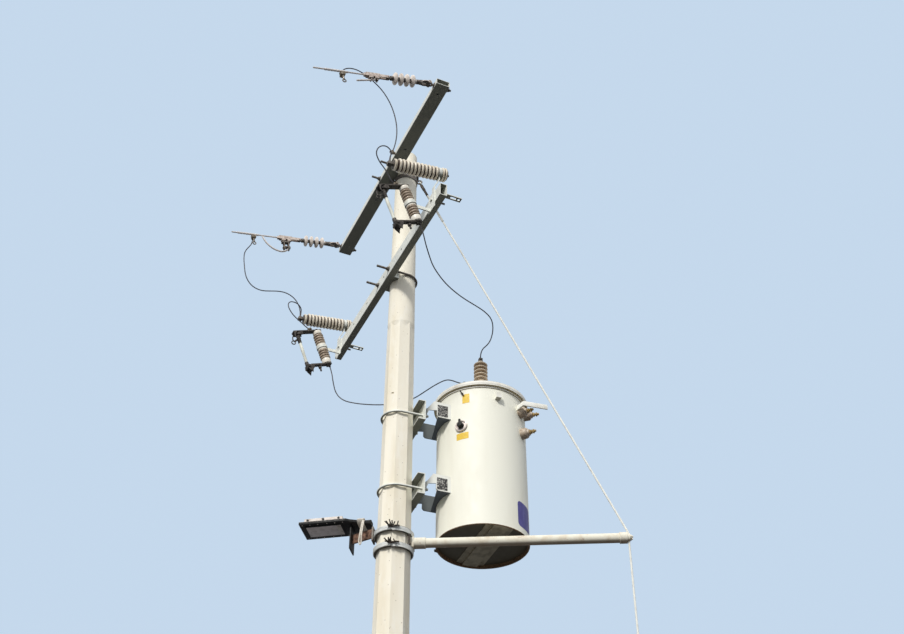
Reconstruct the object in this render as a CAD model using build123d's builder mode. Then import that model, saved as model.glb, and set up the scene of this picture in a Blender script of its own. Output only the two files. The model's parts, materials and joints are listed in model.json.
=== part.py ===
from build123d import *
from math import cos, pi, radians, sin, sqrt, tan
import os

os.makedirs("parts", exist_ok=True)

# Pole-mounted distribution transformer, one unit with its pole, line hardware, brace and lamp.
# Millimetres, +Z up, origin on the pole's flat base. The crossarms run along Y, the line leaves
# toward -X and the tank hangs on the +X side.

# pole: octagon below, round above; the octagon and the tank are turned a little from the crossarms
pole_top = 9200
base_flats = 270
taper = 0.01265
pole_turn = -4
octagon_end = 7500
run_out = 45
round_top_r = 79.5
top_chamfer = 6
wire_hole_r = 8
wire_hole_z = 6880

# crossarms: rectangular tube
arm_length = 2000
arm_wide = 102
arm_thin = 51
arm_wall = 4
arm_round = 6
arm_below_top = 220
arm_spacing = 1065
arm_hole_r = 9
upper_hole_shares = (-0.9, -0.3, 0.3, 0.9)
lower_hole_shares = (-0.6, -0.33, 0, 0.33, 0.6)
saddle_t = 6
saddle_h = 90
saddle_deep = 34
u_bolt_r = 8
u_bolt_stick_out = 66
nut_w = 26
nut_t = 13
washer_r = 20
washer_t = 3
seat = 0.2
pin_r = 7

# dead-end strings, measured from the arm's end and from the eye
string_inset = 50
near_drop = 16
far_drop = 12
eye_ring_r = 19
eye_reach = 36
rod_r = 8
shed_r = 45
shed_core_r = 14
string_sheds = 4
string_pitch = 46
string_first = 136
string_end = 320
clamp_fork = 76
clamp_body = 106
clamp_jaw_first = 28
clamp_jaw_pitch = 47
wire_r = 5
sleeve_r = 9
sleeve_len = 175
near_grip = 685
far_grip = 720
line_end = 900
tail_r = 4.5
lug_y = 20

# arresters, cutouts and their shared brackets, insets measured from the arm's ends
near_arrester_inset = 100
far_arrester_inset = 70
near_cutout_inset = 155
far_cutout_inset = 115
arrester_rise = 235
arrester_band_out = 130
arrester_tilt = 8
arrester_len = 322
arrester_back = 70
arrester_r = 49
arrester_core_r = 40
arrester_front_ribs = 11
arrester_strap = 22
bar_w = 40
bar_t = 6
plate_t = 8
bracket_tail = 50
cutout_out = 296
cutout_drop = 72
cutout_lean = 21
cutout_len = 290
cutout_shed_r = 39
cutout_core_r = 33
cutout_swell = 3
cutout_sheds = 4
cutout_shed_pitch = 21
cutout_strap = 22
cutout_arm_h = 26
fuse_out = 166
fuse_r = 11
hinge_down = 168
fuse_gap = 0.4

# tank
tank_x = 594
tank_r = 301
tank_bottom = 5888
tank_top = 6918
tank_recess = 25
tank_wall = 8
lid_over = 20
lid_skirt = 30
lid_dome = 62
hv_x = 537
hv_y = 153
hv_r = 48
hv_sheds = 5
hv_pitch = 30
hv_stud = 345
hv_clamp = 26
hanger_z = (6719, 6158)
hanger_half_w = 138
hanger_up = 112
hanger_low = -6
hanger_front_x = 226
hanger_t = 6
hanger_foot_h = 62
channel_w = 310
channel_h = 150
channel_up = 91
channel_deep = 50
channel_t = 6
tap_angle = -137
tap_z = 6627
tap_r = 43
lv_angle = -47
lug_z = 6851
lug_out = 34
side_bar_z = 6848
side_bar_h = 40
side_bar_t = 9
side_bar_knee_x = 786
side_bar_y = -336
side_bar_end_x = 942
skid_w = 100
skid_side = 42
skid_drop = 12
skid_t = 5
skid_x = 18

# brace, guy, bands and lamp
strut_turn = -27.7
strut_z = 5796
strut_end = 1440
strut_r = 30.2
socket_len = 62
band_h = 38
band_thick = 19
upper_band_z = 5845
lower_band_z = 5734
guy_r = 5
guy_below_arm = 50
eye_major = 17
eye_minor = 6
loop_major = 16
grip_len = 460
rod_top = 400
rod_base_r = 9
jumper_r = 4
lamp_turn = 145.2
lamp_out = 443
lamp_z = 5934
lamp_len = 300
lamp_w = 200
lamp_plate_t = 18
lamp_box_h = 34
lamp_box_inset = 26
lens_len = 237
lens_w = 136
lens_t = 6
neck_len = 150
neck_end_w = 70
lamp_arm_z = 5850
lamp_arm_h = 64
lamp_arm_t = 12
lamp_arm_rise = 34
lamp_pad_t = 10
lamp_pad_w = 60
lamp_flange_out = 268
lamp_flange_w = 100
lamp_flange_low = 5767

upper_arm_z = pole_top - arm_below_top
lower_arm_z = upper_arm_z - arm_spacing
string_y = arm_length / 2 - string_inset
near_arrester_y = near_arrester_inset - arm_length / 2
far_arrester_y = arm_length / 2 - far_arrester_inset
near_cutout_y = near_cutout_inset - arm_length / 2
far_cutout_y = arm_length / 2 - far_cutout_inset
arrester_band_x = -arrester_band_out
arrester_z = lower_arm_z + arrester_rise
cutout_x = -cutout_out
cutout_z = lower_arm_z - cutout_drop
guy_top_z = upper_arm_z - guy_below_arm


def flats_at(z):
    """distance across the pole's flats at height z"""
    return base_flats - taper * z


def corner_r_at(z):
    """distance from the pole's centre to an octagon corner at height z"""
    return flats_at(z) / 2 / cos(radians(22.5))


def round_r_at(z):
    """radius of the pole's round top at height z"""
    low = corner_r_at(octagon_end)
    return low + (round_top_r - low) * (z - octagon_end) / (pole_top - octagon_end)


def bar(a, b, r):
    """round bar from point a to point b"""
    way = Vector(*b) - Vector(*a)
    with BuildSketch(Plane(origin=a, z_dir=way.normalized())) as face:
        Circle(r)
    extrude(face.sketch, amount=way.length)


def flat(a, b, w, t, side):
    """flat bar from a to b, w wide along the side direction and t thick"""
    way = Vector(*b) - Vector(*a)
    with BuildSketch(Plane(origin=a, x_dir=side, z_dir=way.normalized())) as face:
        Rectangle(w, t)
    extrude(face.sketch, amount=way.length)


def block(at, size, turn=0):
    """rectangular block centred on a point, turned about Z"""
    with Locations(Location(at, (0, 0, turn))):
        Box(*size)


def ring(at, way, major, minor):
    """round-bar ring about an axis"""
    with Locations(Plane(origin=at, z_dir=way).location):
        Torus(major, minor)


def hexagon(at, way, w=nut_w, t=nut_t):
    """hexagon nut or head with its near face at a point"""
    with BuildSketch(Plane(origin=at, z_dir=way)) as face:
        RegularPolygon(w / 2, 6, major_radius=False)
    extrude(face.sketch, amount=t)


def turned(plane, points):
    """solid of revolution about the plane's Z axis, from points given as radius and height"""
    up = Plane(origin=plane.origin, x_dir=plane.x_dir, z_dir=-plane.y_dir)
    with BuildSketch(up) as face:
        with BuildLine():
            Polyline(*points, close=True)
        make_face()
    revolve(face.sketch, axis=Axis(plane.origin, plane.z_dir))


def sheds(start, pitch, count, core, rim, thick=7, slope=12):
    """profile points of a row of rain sheds, bottom to top"""
    points = []
    for i in range(count):
        z = start + i * pitch
        points += [(core, z - thick / 2), (rim, z - thick / 2), (rim, z), (core, z + slope)]
    return points


def save(piece, name, turn=0):
    """labels a piece, turns it about the pole's axis and writes its file"""
    piece = piece.part.rotate(Axis.Z, turn)
    piece.label = name
    export_step(piece, f"parts/{name}.step")


def turned_point(x, y, z):
    """a point of the tank's own frame, turned with the octagon"""
    t = radians(pole_turn)
    return (x * cos(t) - y * sin(t), x * sin(t) + y * cos(t), z)


def u_bolt(z, half, leg_x, r=u_bolt_r):
    """U-bolt round the pole with its bend on the +X side and its legs out to leg_x"""
    with BuildLine() as path:
        Line((leg_x, -half, z), (0, -half, z))
        RadiusArc((0, -half, z), (0, half, z), -half)
        Line((0, half, z), (leg_x, half, z))
    with BuildSketch(Plane(origin=(leg_x, -half, z), z_dir=(1, 0, 0))) as face:
        Circle(r)
    sweep(face.sketch, path=path.wires()[0])


# pole: eight tapered flats up to the round part, which ends in a chamfered top
with BuildPart() as pole:
    with BuildSketch(Plane.XY):
        RegularPolygon(base_flats / 2, 8, major_radius=False, rotation=22.5)
    with BuildSketch(Plane.XY.offset(octagon_end)):
        RegularPolygon(flats_at(octagon_end) / 2, 8, major_radius=False, rotation=22.5)
    loft()
    with BuildSketch(Plane.XZ) as crown:
        with BuildLine():
            Polyline((0, octagon_end - run_out), (flats_at(octagon_end) / 2 - 1, octagon_end - run_out),
                     (corner_r_at(octagon_end), octagon_end), (round_top_r, pole_top - top_chamfer),
                     (round_top_r - top_chamfer, pole_top), (0, pole_top), close=True)
        make_face()
    revolve(crown.sketch, axis=Axis.Z)
    corner = flats_at(wire_hole_z) / 2
    with Locations(Location((-corner * cos(pi / 4), -corner * sin(pi / 4), wire_hole_z), (0, 90, 45))):
        Cylinder(wire_hole_r, 60, mode=Mode.SUBTRACT)
save(pole, "pole", pole_turn)

# upper crossarm, laid flat against the round top
upper_arm_x = -(round_r_at(upper_arm_z) + arm_wide / 2 + seat)
upper_leg_y = round_r_at(upper_arm_z) + u_bolt_r + seat
with BuildPart() as upper_crossarm:
    end = Plane(origin=(upper_arm_x, -arm_length / 2, upper_arm_z), x_dir=(1, 0, 0), z_dir=(0, 1, 0))
    with BuildSketch(end):
        RectangleRounded(arm_wide, arm_thin, arm_round)
        RectangleRounded(arm_wide - 2 * arm_wall, arm_thin - 2 * arm_wall, arm_round / 2, mode=Mode.SUBTRACT)
    extrude(amount=arm_length)
    with Locations(*[Location((upper_arm_x, y, upper_arm_z), (0, 90, 0))
                     for y in (-string_y, -upper_leg_y, upper_leg_y, string_y)]):
        Cylinder(arm_hole_r, arm_wide + 2, mode=Mode.SUBTRACT)
    with Locations(*[Location((upper_arm_x, share * arm_length / 2, upper_arm_z))
                     for share in upper_hole_shares]):
        Cylinder(arm_hole_r, arm_thin + 2, mode=Mode.SUBTRACT)
save(upper_crossarm, "upper_crossarm")

# lower crossarm, upright, held off the pole by a saddle
lower_r = round_r_at(lower_arm_z - arm_wide / 2)
bracket_bolt_y = ((near_arrester_y + near_cutout_y) / 2, (far_arrester_y + far_cutout_y) / 2)
lower_arm_x = -(lower_r + saddle_t + 2 * seat + arm_thin / 2)
lower_leg_y = lower_r + u_bolt_r + seat
with BuildPart() as lower_crossarm:
    end = Plane(origin=(lower_arm_x, -arm_length / 2, lower_arm_z), x_dir=(1, 0, 0), z_dir=(0, 1, 0))
    with BuildSketch(end):
        RectangleRounded(arm_thin, arm_wide, arm_round)
        RectangleRounded(arm_thin - 2 * arm_wall, arm_wide - 2 * arm_wall, arm_round / 2, mode=Mode.SUBTRACT)
    extrude(amount=arm_length)
    with Locations(*[Location((lower_arm_x, y, lower_arm_z), (0, 90, 0))
                     for y in (*[share * arm_length / 2 for share in lower_hole_shares],
                               -lower_leg_y, lower_leg_y, *bracket_bolt_y)]):
        Cylinder(arm_hole_r, arm_thin + 2, mode=Mode.SUBTRACT)
save(lower_crossarm, "lower_crossarm")

# U-bolts with washers and nuts
upper_face = upper_arm_x - arm_wide / 2
lower_face = lower_arm_x - arm_thin / 2
with BuildPart() as upper_u_bolt:
    u_bolt(upper_arm_z, upper_leg_y, upper_face - u_bolt_stick_out)
    for y in (-upper_leg_y, upper_leg_y):
        bar((upper_face, y, upper_arm_z), (upper_face - washer_t, y, upper_arm_z), washer_r)
        hexagon((upper_face - washer_t, y, upper_arm_z), (-1, 0, 0))
save(upper_u_bolt, "upper_crossarm_u_bolt")

with BuildPart() as lower_u_bolt:
    u_bolt(lower_arm_z, lower_leg_y, lower_face - u_bolt_stick_out - 25)
    for y in (-lower_leg_y, lower_leg_y):
        bar((lower_face, y, lower_arm_z), (lower_face - washer_t, y, lower_arm_z), washer_r)
        hexagon((lower_face - washer_t, y, lower_arm_z), (-1, 0, 0))
save(lower_u_bolt, "lower_crossarm_u_bolt")

with BuildPart() as saddle:
    block((-(lower_r + seat + saddle_t - saddle_deep / 2), 0, lower_arm_z),
          (saddle_deep, 2 * lower_r - 12, saddle_h))
    with Locations((0, 0, lower_arm_z)):
        Cylinder(lower_r + seat, saddle_h + 20, mode=Mode.SUBTRACT)
save(saddle, "lower_crossarm_saddle")

# eyebolts through the upper arm, one at each end
eye_x = upper_face - eye_reach
with BuildPart() as crossarm_eyebolts:
    for y in (-string_y, string_y):
        bar((upper_face + arm_wide + washer_t + nut_t + 14, y, upper_arm_z),
            (eye_x + eye_ring_r, y, upper_arm_z), rod_r)
        with Locations(Location((eye_x, y, upper_arm_z), (90, 0, 0))):
            Torus(eye_ring_r, rod_r)
        for x, way in ((upper_face, -1), (upper_face + arm_wide, 1)):
            bar((x, y, upper_arm_z), (x + way * washer_t, y, upper_arm_z), washer_r)
            if way > 0:
                hexagon((x + washer_t, y, upper_arm_z), (way, 0, 0))
save(crossarm_eyebolts, "crossarm_eyebolts")


def string_way(drop):
    """unit direction of a string that sags by drop degrees toward -X"""
    return (-cos(radians(drop)), 0, -sin(radians(drop)))


def on_string(y, drop, s, below=0):
    """point s along a string, and below its centre line"""
    way = string_way(drop)
    return (eye_x + way[0] * s + sin(radians(drop)) * below, y, upper_arm_z + way[2] * s
            - cos(radians(drop)) * below)


def string_insulator(y, drop):
    """polymer dead-end insulator with a clevis at the arm and a tongue at the line"""
    way = string_way(drop)
    top = Plane(origin=on_string(y, drop, 0), x_dir=(0, 1, 0), z_dir=way)
    pts = [(0, 78), (17, 78), (17, 112), (shed_core_r, 116)]
    pts += sheds(string_first, string_pitch, string_sheds, shed_core_r, shed_r, 6, 14)
    pts += [(shed_core_r, string_end - 46), (17, string_end - 42), (17, string_end - 8), (0, string_end - 8)]
    turned(top, pts)
    # clevis ears either side of the eye, with the pin pulled against its ring
    slack = eye_ring_r - rod_r - pin_r - seat
    for side in (-1, 1):
        a = on_string(y, drop, slack - 16)
        b = on_string(y, drop, 80)
        off = side * (rod_r + 4)
        flat((a[0], y + off, a[2]), (b[0], y + off, b[2]), 26, 6, (way[2], 0, -way[0]))
    pin = on_string(y, drop, slack)
    bar((pin[0], y - 24, pin[2]), (pin[0], y + 24, pin[2]), pin_r)
    tongue = on_string(y, drop, string_end + 26)
    flat(on_string(y, drop, string_end - 10), tongue, 26, 12, (way[2], 0, -way[0]))
    with Locations(Location(on_string(y, drop, string_end + 12), (90, 0, 0))):
        Cylinder(pin_r, 20, mode=Mode.SUBTRACT)


with BuildPart() as string_insulators:
    for y, drop in ((-string_y, near_drop), (string_y, far_drop)):
        string_insulator(y, drop)
save(string_insulators, "string_insulators")


def dead_end_clamp(y, drop):
    """bolted clamp that grips the line, with two U-bolts below and a fork at the insulator"""
    way = string_way(drop)
    side = (way[2], 0, -way[0])
    body = string_end + clamp_fork
    for off in (-10, 10):
        a = on_string(y, drop, string_end + 2)
        b = on_string(y, drop, body + 6)
        flat((a[0], y + off, a[2]), (b[0], y + off, b[2]), 24, 7.4, side)
    pin = on_string(y, drop, string_end + 12)
    bar((pin[0], y - 20, pin[2]), (pin[0], y + 20, pin[2]), pin_r - seat)
    flat(on_string(y, drop, body), on_string(y, drop, body + clamp_body), 32, 30, side)
    # the body's nose, which the wire's tail turns down from
    flat(on_string(y, drop, body + clamp_body), on_string(y, drop, body + clamp_body + 16), 22, 22, side)
    for s in (body + clamp_jaw_first, body + clamp_jaw_first + clamp_jaw_pitch):
        for off in (-11, 11):
            a = on_string(y, drop, s, 10)
            b = on_string(y, drop, s, 48)
            bar((a[0], y + off, a[2]), (b[0], y + off, b[2]), 5)
        flat(on_string(y, drop, s - 15, 26), on_string(y, drop, s + 15, 26), 12, 34, side)


with BuildPart() as dead_end_clamps:
    for y, drop in ((-string_y, near_drop), (string_y, far_drop)):
        dead_end_clamp(y, drop)
save(dead_end_clamps, "dead_end_clamps")

# short lengths of the line wire, held in the clamps, with the connector sleeve and the turned-back tail
clamp_tail = string_end + clamp_fork + clamp_body + 16
with BuildPart() as line_wires:
    for y, drop, grip in ((-string_y, near_drop, near_grip), (string_y, far_drop, far_grip)):
        bar(on_string(y, drop, clamp_tail), on_string(y, drop, line_end), wire_r)
        bar(on_string(y, drop, grip - 45), on_string(y, drop, grip - 45 + sleeve_len), sleeve_r)
        tail = [on_string(y, drop, s, below) for s, below in
                ((clamp_tail + 80, 8), (clamp_tail + 30, 46), (clamp_tail - 42, 72), (clamp_tail - 96, 66))]
        with BuildLine() as path:
            Spline(*tail)
        start = Vector(*tail[0])
        with BuildSketch(Plane(origin=start, z_dir=path.wires()[0] % 0)) as face:
            Circle(tail_r)
        sweep(face.sketch, path=path.wires()[0])
save(line_wires, "line_wires")

# bronze hot-line clamps that hang on the sleeves
with BuildPart() as hot_line_clamps:
    for y, drop, grip in ((-string_y, near_drop, near_grip), (string_y, far_drop, far_grip)):
        way = string_way(drop)
        side = (way[2], 0, -way[0])
        flat(on_string(y, drop, grip - 18, 22), on_string(y, drop, grip + 18, 22), 24, 26, side)
        bar(on_string(y, drop, grip, 30), on_string(y, drop, grip, 76), 7)
        with Locations(Location(on_string(y, drop, grip, 88), (90, 0, 0))):
            Torus(12, 4)
        hold = on_string(y, drop, grip, 22)
        block((hold[0], y + lug_y, hold[2]), (22, 16, 26))
save(hot_line_clamps, "hot_line_clamps")


def arrester_point(y, s, out=0):
    """point s along an arrester from its band toward the line terminal"""
    t = radians(arrester_tilt)
    return (arrester_band_x - s * cos(t) + out * sin(t), y, arrester_z - s * sin(t) - out * cos(t))


terminal_x, _, terminal_top = arrester_point(0, arrester_len + 26, -13)


def arrester(y):
    """porcelain arrester lying nearly level, ribbed on both sides of its band, with end discs"""
    t = radians(arrester_tilt)
    base = Plane(origin=arrester_point(y, 0), x_dir=(0, 1, 0), z_dir=(-cos(t), 0, -sin(t)))
    disc = arrester_core_r - 2
    pitch = (arrester_len - 42) / arrester_front_ribs
    pts = [(0, -arrester_back - 20), (8, -arrester_back - 20), (8, -arrester_back), (disc, -arrester_back),
           (disc, -arrester_back + 14), (arrester_core_r, -arrester_back + 16)]
    pts += sheds(-arrester_back + 32, pitch, 1, arrester_core_r, arrester_r, 8, 8)
    pts += sheds(18, pitch, arrester_front_ribs, arrester_core_r, arrester_r, 8, 8)
    pts += [(arrester_core_r, arrester_len - 16), (disc, arrester_len - 14), (disc, arrester_len),
            (8, arrester_len), (8, arrester_len + 26), (0, arrester_len + 26)]
    turned(base, pts)
    block((terminal_x, y, terminal_top - 13), (32, 34, 26))


with BuildPart() as surge_arresters:
    for y in (near_arrester_y, far_arrester_y):
        arrester(y)
save(surge_arresters, "surge_arresters")


def cutout_point(y, up, out=0):
    """point on a cutout's leaning frame: up along its body, out toward the fuse tube"""
    t = radians(cutout_lean)
    return (cutout_x - up * sin(t) - out * cos(t), y, cutout_z + up * cos(t) - out * sin(t))


def equipment_bracket(arrester_y, cutout_y):
    """galvanised bracket: bent plate on the arm's face, tail over the arm, arrester band and cutout arm"""
    top = lower_arm_z + arm_wide / 2 + seat
    front = lower_face - seat
    low = cutout_z - bar_w / 2
    bolt_y = (arrester_y + cutout_y) / 2
    # tail over the arm with a round hole and a slot
    block(((front - bar_t + bracket_tail) / 2, arrester_y, top + bar_t / 2),
          (bracket_tail - front + bar_t, bar_w, bar_t))
    with Locations((bracket_tail - 18, arrester_y, top)):
        Cylinder(arm_hole_r, 30, mode=Mode.SUBTRACT)
    with BuildSketch(Plane.XY.offset(top - 5)) as slot:
        with Locations((bracket_tail - 58, arrester_y)):
            SlotOverall(44, 2 * arm_hole_r)
    extrude(slot.sketch, amount=30, mode=Mode.SUBTRACT)
    # front plate with its bolt through the arm
    block((front - bar_t / 2, bolt_y, (top + bar_t + low) / 2),
          (bar_t, abs(arrester_y - cutout_y) + bar_w, top + bar_t - low))
    bar((front - 12, bolt_y, lower_arm_z), (lower_face + arm_thin + 40, bolt_y, lower_arm_z), 6.5)
    hexagon((front - bar_t, bolt_y, lower_arm_z), (-1, 0, 0), 22, 9)
    hexagon((lower_face + arm_thin + seat, bolt_y, lower_arm_z), (1, 0, 0), 22, 11)
    # post that rises from the plate and leans back to the arrester's band
    band = arrester_point(arrester_y, -arrester_strap / 2)
    post_top = band[2] - arrester_core_r - 2
    with BuildSketch(Plane(origin=(0, arrester_y - bar_w / 2, 0), x_dir=(1, 0, 0), z_dir=(0, -1, 0))) as side:
        with BuildLine():
            Polyline((front - bar_t, top), (front - bar_t, top + 48), (band[0] - bar_t / 2, post_top - 24),
                     (band[0] - bar_t / 2, post_top), (band[0] + bar_t / 2, post_top),
                     (band[0] + bar_t / 2, post_top - 26), (front, top + 46), (front, top), close=True)
        make_face()
    extrude(side.sketch, amount=-bar_w)
    t = radians(arrester_tilt)
    low_end = arrester_point(arrester_y, -arrester_strap - 2)
    strap = Plane(origin=low_end, x_dir=(0, 1, 0), z_dir=(-cos(t), 0, -sin(t)))
    turned(strap,
           [(arrester_core_r + 0.3, 0), (arrester_core_r + 5, 0), (arrester_core_r + 5, arrester_strap),
            (arrester_core_r + 0.3, arrester_strap)])
    # arm and band of the cutout
    hub = cutout_point(cutout_y, 0)
    block(((front + hub[0]) / 2, cutout_y, cutout_z), (front - hub[0], plate_t, cutout_arm_h))
    lean = radians(cutout_lean)
    low_end = cutout_point(cutout_y, -cutout_strap / 2)
    ring = Plane(origin=low_end, x_dir=(0, 1, 0), z_dir=(-sin(lean), 0, cos(lean)))
    inner = cutout_core_r + cutout_swell + 0.3
    with BuildSketch(ring) as clear:
        Circle(inner)
    extrude(clear.sketch, amount=60, both=True, mode=Mode.SUBTRACT)
    turned(ring, [(inner, 0), (inner + 5, 0), (inner + 5, cutout_strap), (inner, cutout_strap)])


with BuildPart() as equipment_brackets:
    equipment_bracket(near_arrester_y, near_cutout_y)
    equipment_bracket(far_arrester_y, far_cutout_y)
save(equipment_brackets, "equipment_brackets")


def cutout_body(y):
    """porcelain cutout insulator with sheds above and below its centre band"""
    lean = radians(cutout_lean)
    base = Plane(origin=cutout_point(y, 0), x_dir=(0, 1, 0), z_dir=(-sin(lean), 0, cos(lean)))
    half = cutout_len / 2
    cap = cutout_core_r + 1
    band = cutout_core_r + cutout_swell
    run = (cutout_sheds - 1) * cutout_shed_pitch
    pts = [(0, -half), (cap - 4, -half), (cap, -half + 4), (cap, -half + 40), (cutout_core_r, -half + 41)]
    pts += sheds(-35 - run, cutout_shed_pitch, cutout_sheds, cutout_core_r, cutout_shed_r, 8, 7)
    pts += [(cutout_core_r, -27), (band, -26), (band, 26), (cutout_core_r, 27)]
    pts += sheds(38, cutout_shed_pitch, cutout_sheds, cutout_core_r, cutout_shed_r, 8, 7)
    pts += [(cutout_core_r, half - 23), (cap, half - 22), (cap, half - 4), (cap - 4, half), (0, half)]
    turned(base, pts)


def top_terminal(y, s):
    """point s beyond the end of a cutout's upper terminal, which points up and to the line side"""
    up, out = 0.784, 0.62
    return cutout_point(y, cutout_len / 2 + 6 + (26 + s) * up, 38 + (26 + s) * out)


def foot_terminal(y, s):
    """point s beyond the end of a cutout's lower terminal, along its body"""
    return cutout_point(y, -cutout_len / 2 - 30 - s, -14)


def upper_contact(y):
    """hood, spring contact and terminal on top of a cutout"""
    half = cutout_len / 2
    side = (0, 1, 0)
    a = cutout_point(y, half + 5, -30)
    b = cutout_point(y, half + 5, fuse_out + 34)
    flat(a, b, 45, 10, side)
    for off in (-20, 20):
        p = cutout_point(y, half - 6, fuse_out - 40)
        q = cutout_point(y, half - 6, fuse_out + 30)
        flat((p[0], y + off, p[2]), (q[0], y + off, q[2]), 5, 32, side)
    bar(cutout_point(y, half + 6, 38), top_terminal(y, 0), 8)


def lower_hinge(y):
    """casting below a cutout with two ears that carry the fuse tube's pivot"""
    half = cutout_len / 2
    a = cutout_point(y, -half - 6, -30)
    b = cutout_point(y, -half - 6, fuse_out - 26)
    flat(a, b, 34, 12, (0, 1, 0))
    for off in (-20, 20):
        p = cutout_point(y, -hinge_down, fuse_out - 44)
        q = cutout_point(y, -hinge_down, fuse_out + 14)
        flat((p[0], y + off, p[2]), (q[0], y + off, q[2]), 5, 30, (0, 1, 0))
    p = cutout_point(y, -half - 6, fuse_out - 40)
    q = cutout_point(y, -hinge_down, fuse_out - 40)
    flat(p, q, 45, 12, (0, 1, 0))
    bar(cutout_point(y, -half - 12, -14), foot_terminal(y, 0), 8)


def fuse_tube(y):
    """fibre tube with a top ferrule and pull ring, and a hinge casting at its foot"""
    t = radians(cutout_lean)
    top = cutout_len / 2 - 26
    bar(cutout_point(y, -hinge_down + 18, fuse_out), cutout_point(y, top - 30, fuse_out), fuse_r)
    bar(cutout_point(y, top - 34, fuse_out), cutout_point(y, top, fuse_out), fuse_r + 5)
    bar(cutout_point(y, -hinge_down + 14, fuse_out), cutout_point(y, -hinge_down + 46, fuse_out), fuse_r + 4)
    flat(cutout_point(y, -hinge_down - 16, fuse_out), cutout_point(y, -hinge_down + 20, fuse_out), 33, 24,
         (0, 1, 0))
    pivot = cutout_point(y, -hinge_down, fuse_out)
    with Locations(Location(pivot, (90, 0, 0))):
        Cylinder(5, 50)
    flat(cutout_point(y, top - 16, fuse_out), cutout_point(y, top - 16, fuse_out + fuse_r + 13), 10, 14,
         (0, 1, 0))
    ring(cutout_point(y, top - 16, fuse_out + fuse_r + 23), (0, 1, 0), 13, 3.5)


cutout_rows = (near_cutout_y, far_cutout_y)
with BuildPart() as cutout_insulators:
    for y in cutout_rows:
        cutout_body(y)
save(cutout_insulators, "cutout_insulators")
with BuildPart() as top_contacts:
    for y in cutout_rows:
        upper_contact(y)
save(top_contacts, "cutout_top_contacts")
with BuildPart() as lower_hinges:
    for y in cutout_rows:
        lower_hinge(y)
        with Locations(Location(cutout_point(y, -hinge_down, fuse_out), (90, 0, 0))):
            Cylinder(5 + fuse_gap, 60, mode=Mode.SUBTRACT)
save(lower_hinges, "cutout_lower_hinges")
for tag, y in zip(("near", "far"), cutout_rows):
    with BuildPart() as tube:
        fuse_tube(y)
    save(tube, f"{tag}_fuse_tube")
    print(tag, "pivot", [round(v, 2) for v in cutout_point(y, -hinge_down, fuse_out)])

# tank: closed shell body with a recessed bottom and a rolled top rim
with BuildPart() as tank:
    with BuildSketch(Plane.XY.offset(tank_bottom)) as foot:
        with Locations((tank_x, 0)):
            Circle(tank_r)
    extrude(amount=tank_top - tank_bottom)
    with BuildSketch(Plane.XY.offset(tank_bottom)) as recess:
        with Locations((tank_x, 0)):
            Circle(tank_r - tank_wall)
    extrude(amount=tank_recess, mode=Mode.SUBTRACT)
save(tank, "tank", pole_turn)

lid_r = tank_r + lid_over
lid_profile = [(0, 0), (tank_r + 6, 0), (tank_r + 6, 10), (lid_r, 14), (lid_r, 14 + lid_skirt),
               (lid_r - 14, lid_skirt + 20), (0, lid_dome)]
with BuildPart() as tank_lid:
    turned(Plane(origin=(tank_x, 0, tank_top), x_dir=(1, 0, 0), z_dir=(0, 0, 1)), lid_profile)
save(tank_lid, "tank_lid", pole_turn)

# shallow hat channel across the recess under the tank
roof = tank_bottom + tank_recess - seat
with BuildPart() as skids:
    for x in (-1, 1):
        block((tank_x + skid_x + x * (skid_w + skid_side) / 2, 0, roof - skid_t / 2),
              (skid_side, 2 * tank_r, skid_t))
        block((tank_x + skid_x + x * (skid_w - skid_t) / 2, 0, roof - (skid_t + skid_drop) / 2),
              (skid_t, 2 * tank_r, skid_t + skid_drop))
    block((tank_x + skid_x, 0, roof - skid_drop - skid_t / 2), (skid_w, 2 * tank_r, skid_t))
    with Locations((tank_x, 0, roof)):
        Cylinder(tank_r - tank_wall - 4, 60, mode=Mode.INTERSECT)
save(skids, "tank_skids", pole_turn)


def hv_bushing(y):
    """primary bushing on the lid with its terminal stud"""
    top_shed = 162 + hv_pitch * (hv_sheds - 1)
    pts = [(0, 30), (hv_r + 10, 30), (hv_r + 10, 66), (36, 78), (30, 146)]
    pts += sheds(162, hv_pitch, hv_sheds, 24, hv_r, 7, 13)
    pts += [(22, top_shed + 18), (22, 312), (10, 316), (10, hv_stud), (0, hv_stud)]
    turned(Plane(origin=(hv_x, y, tank_top), x_dir=(1, 0, 0), z_dir=(0, 0, 1)), pts)
    block((hv_x, y, tank_top + hv_stud - hv_clamp / 2), (hv_clamp, hv_clamp, hv_clamp))


with BuildPart() as primary_bushings:
    for y in (-hv_y, hv_y):
        hv_bushing(y)
    with BuildSketch(Plane(origin=(tank_x, 0, tank_top + seat), x_dir=(1, 0, 0), z_dir=(0, -1, 0))) as under:
        with BuildLine():
            Polyline(*lid_profile, close=True)
        make_face()
    revolve(under.sketch, axis=Axis((tank_x, 0, 0), (0, 0, 1)), mode=Mode.SUBTRACT)
save(primary_bushings, "primary_bushings", pole_turn)


def on_tank(angle, z, out=0):
    """point on the tank wall at an angle from +X, out from its surface"""
    r = tank_r + out
    return (tank_x + r * cos(radians(angle)), r * sin(radians(angle)), z)


def clear_of_tank():
    """cuts away what would sink into the tank wall"""
    with Locations((tank_x, 0, (tank_bottom + tank_top) / 2)):
        Cylinder(tank_r + seat, tank_top - tank_bottom + 200, mode=Mode.SUBTRACT)


# secondary bushings on the tank wall
with BuildPart() as secondary_bushings:
    for angle, z in ((lv_angle - 4, 6810), (lv_angle, 6655), (lv_angle + 14, 6850)):
        way = (cos(radians(angle)), sin(radians(angle)), 0)
        turned(Plane(origin=on_tank(angle, z, -4), x_dir=(0, 0, 1), z_dir=way),
               [(0, 0), (38, 0), (38, 16), (28, 20), (28, 42), (20, 48), (20, 62), (9, 64), (9, 106),
                (0, 106)])
    clear_of_tank()
save(secondary_bushings, "secondary_bushings", pole_turn)

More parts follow.
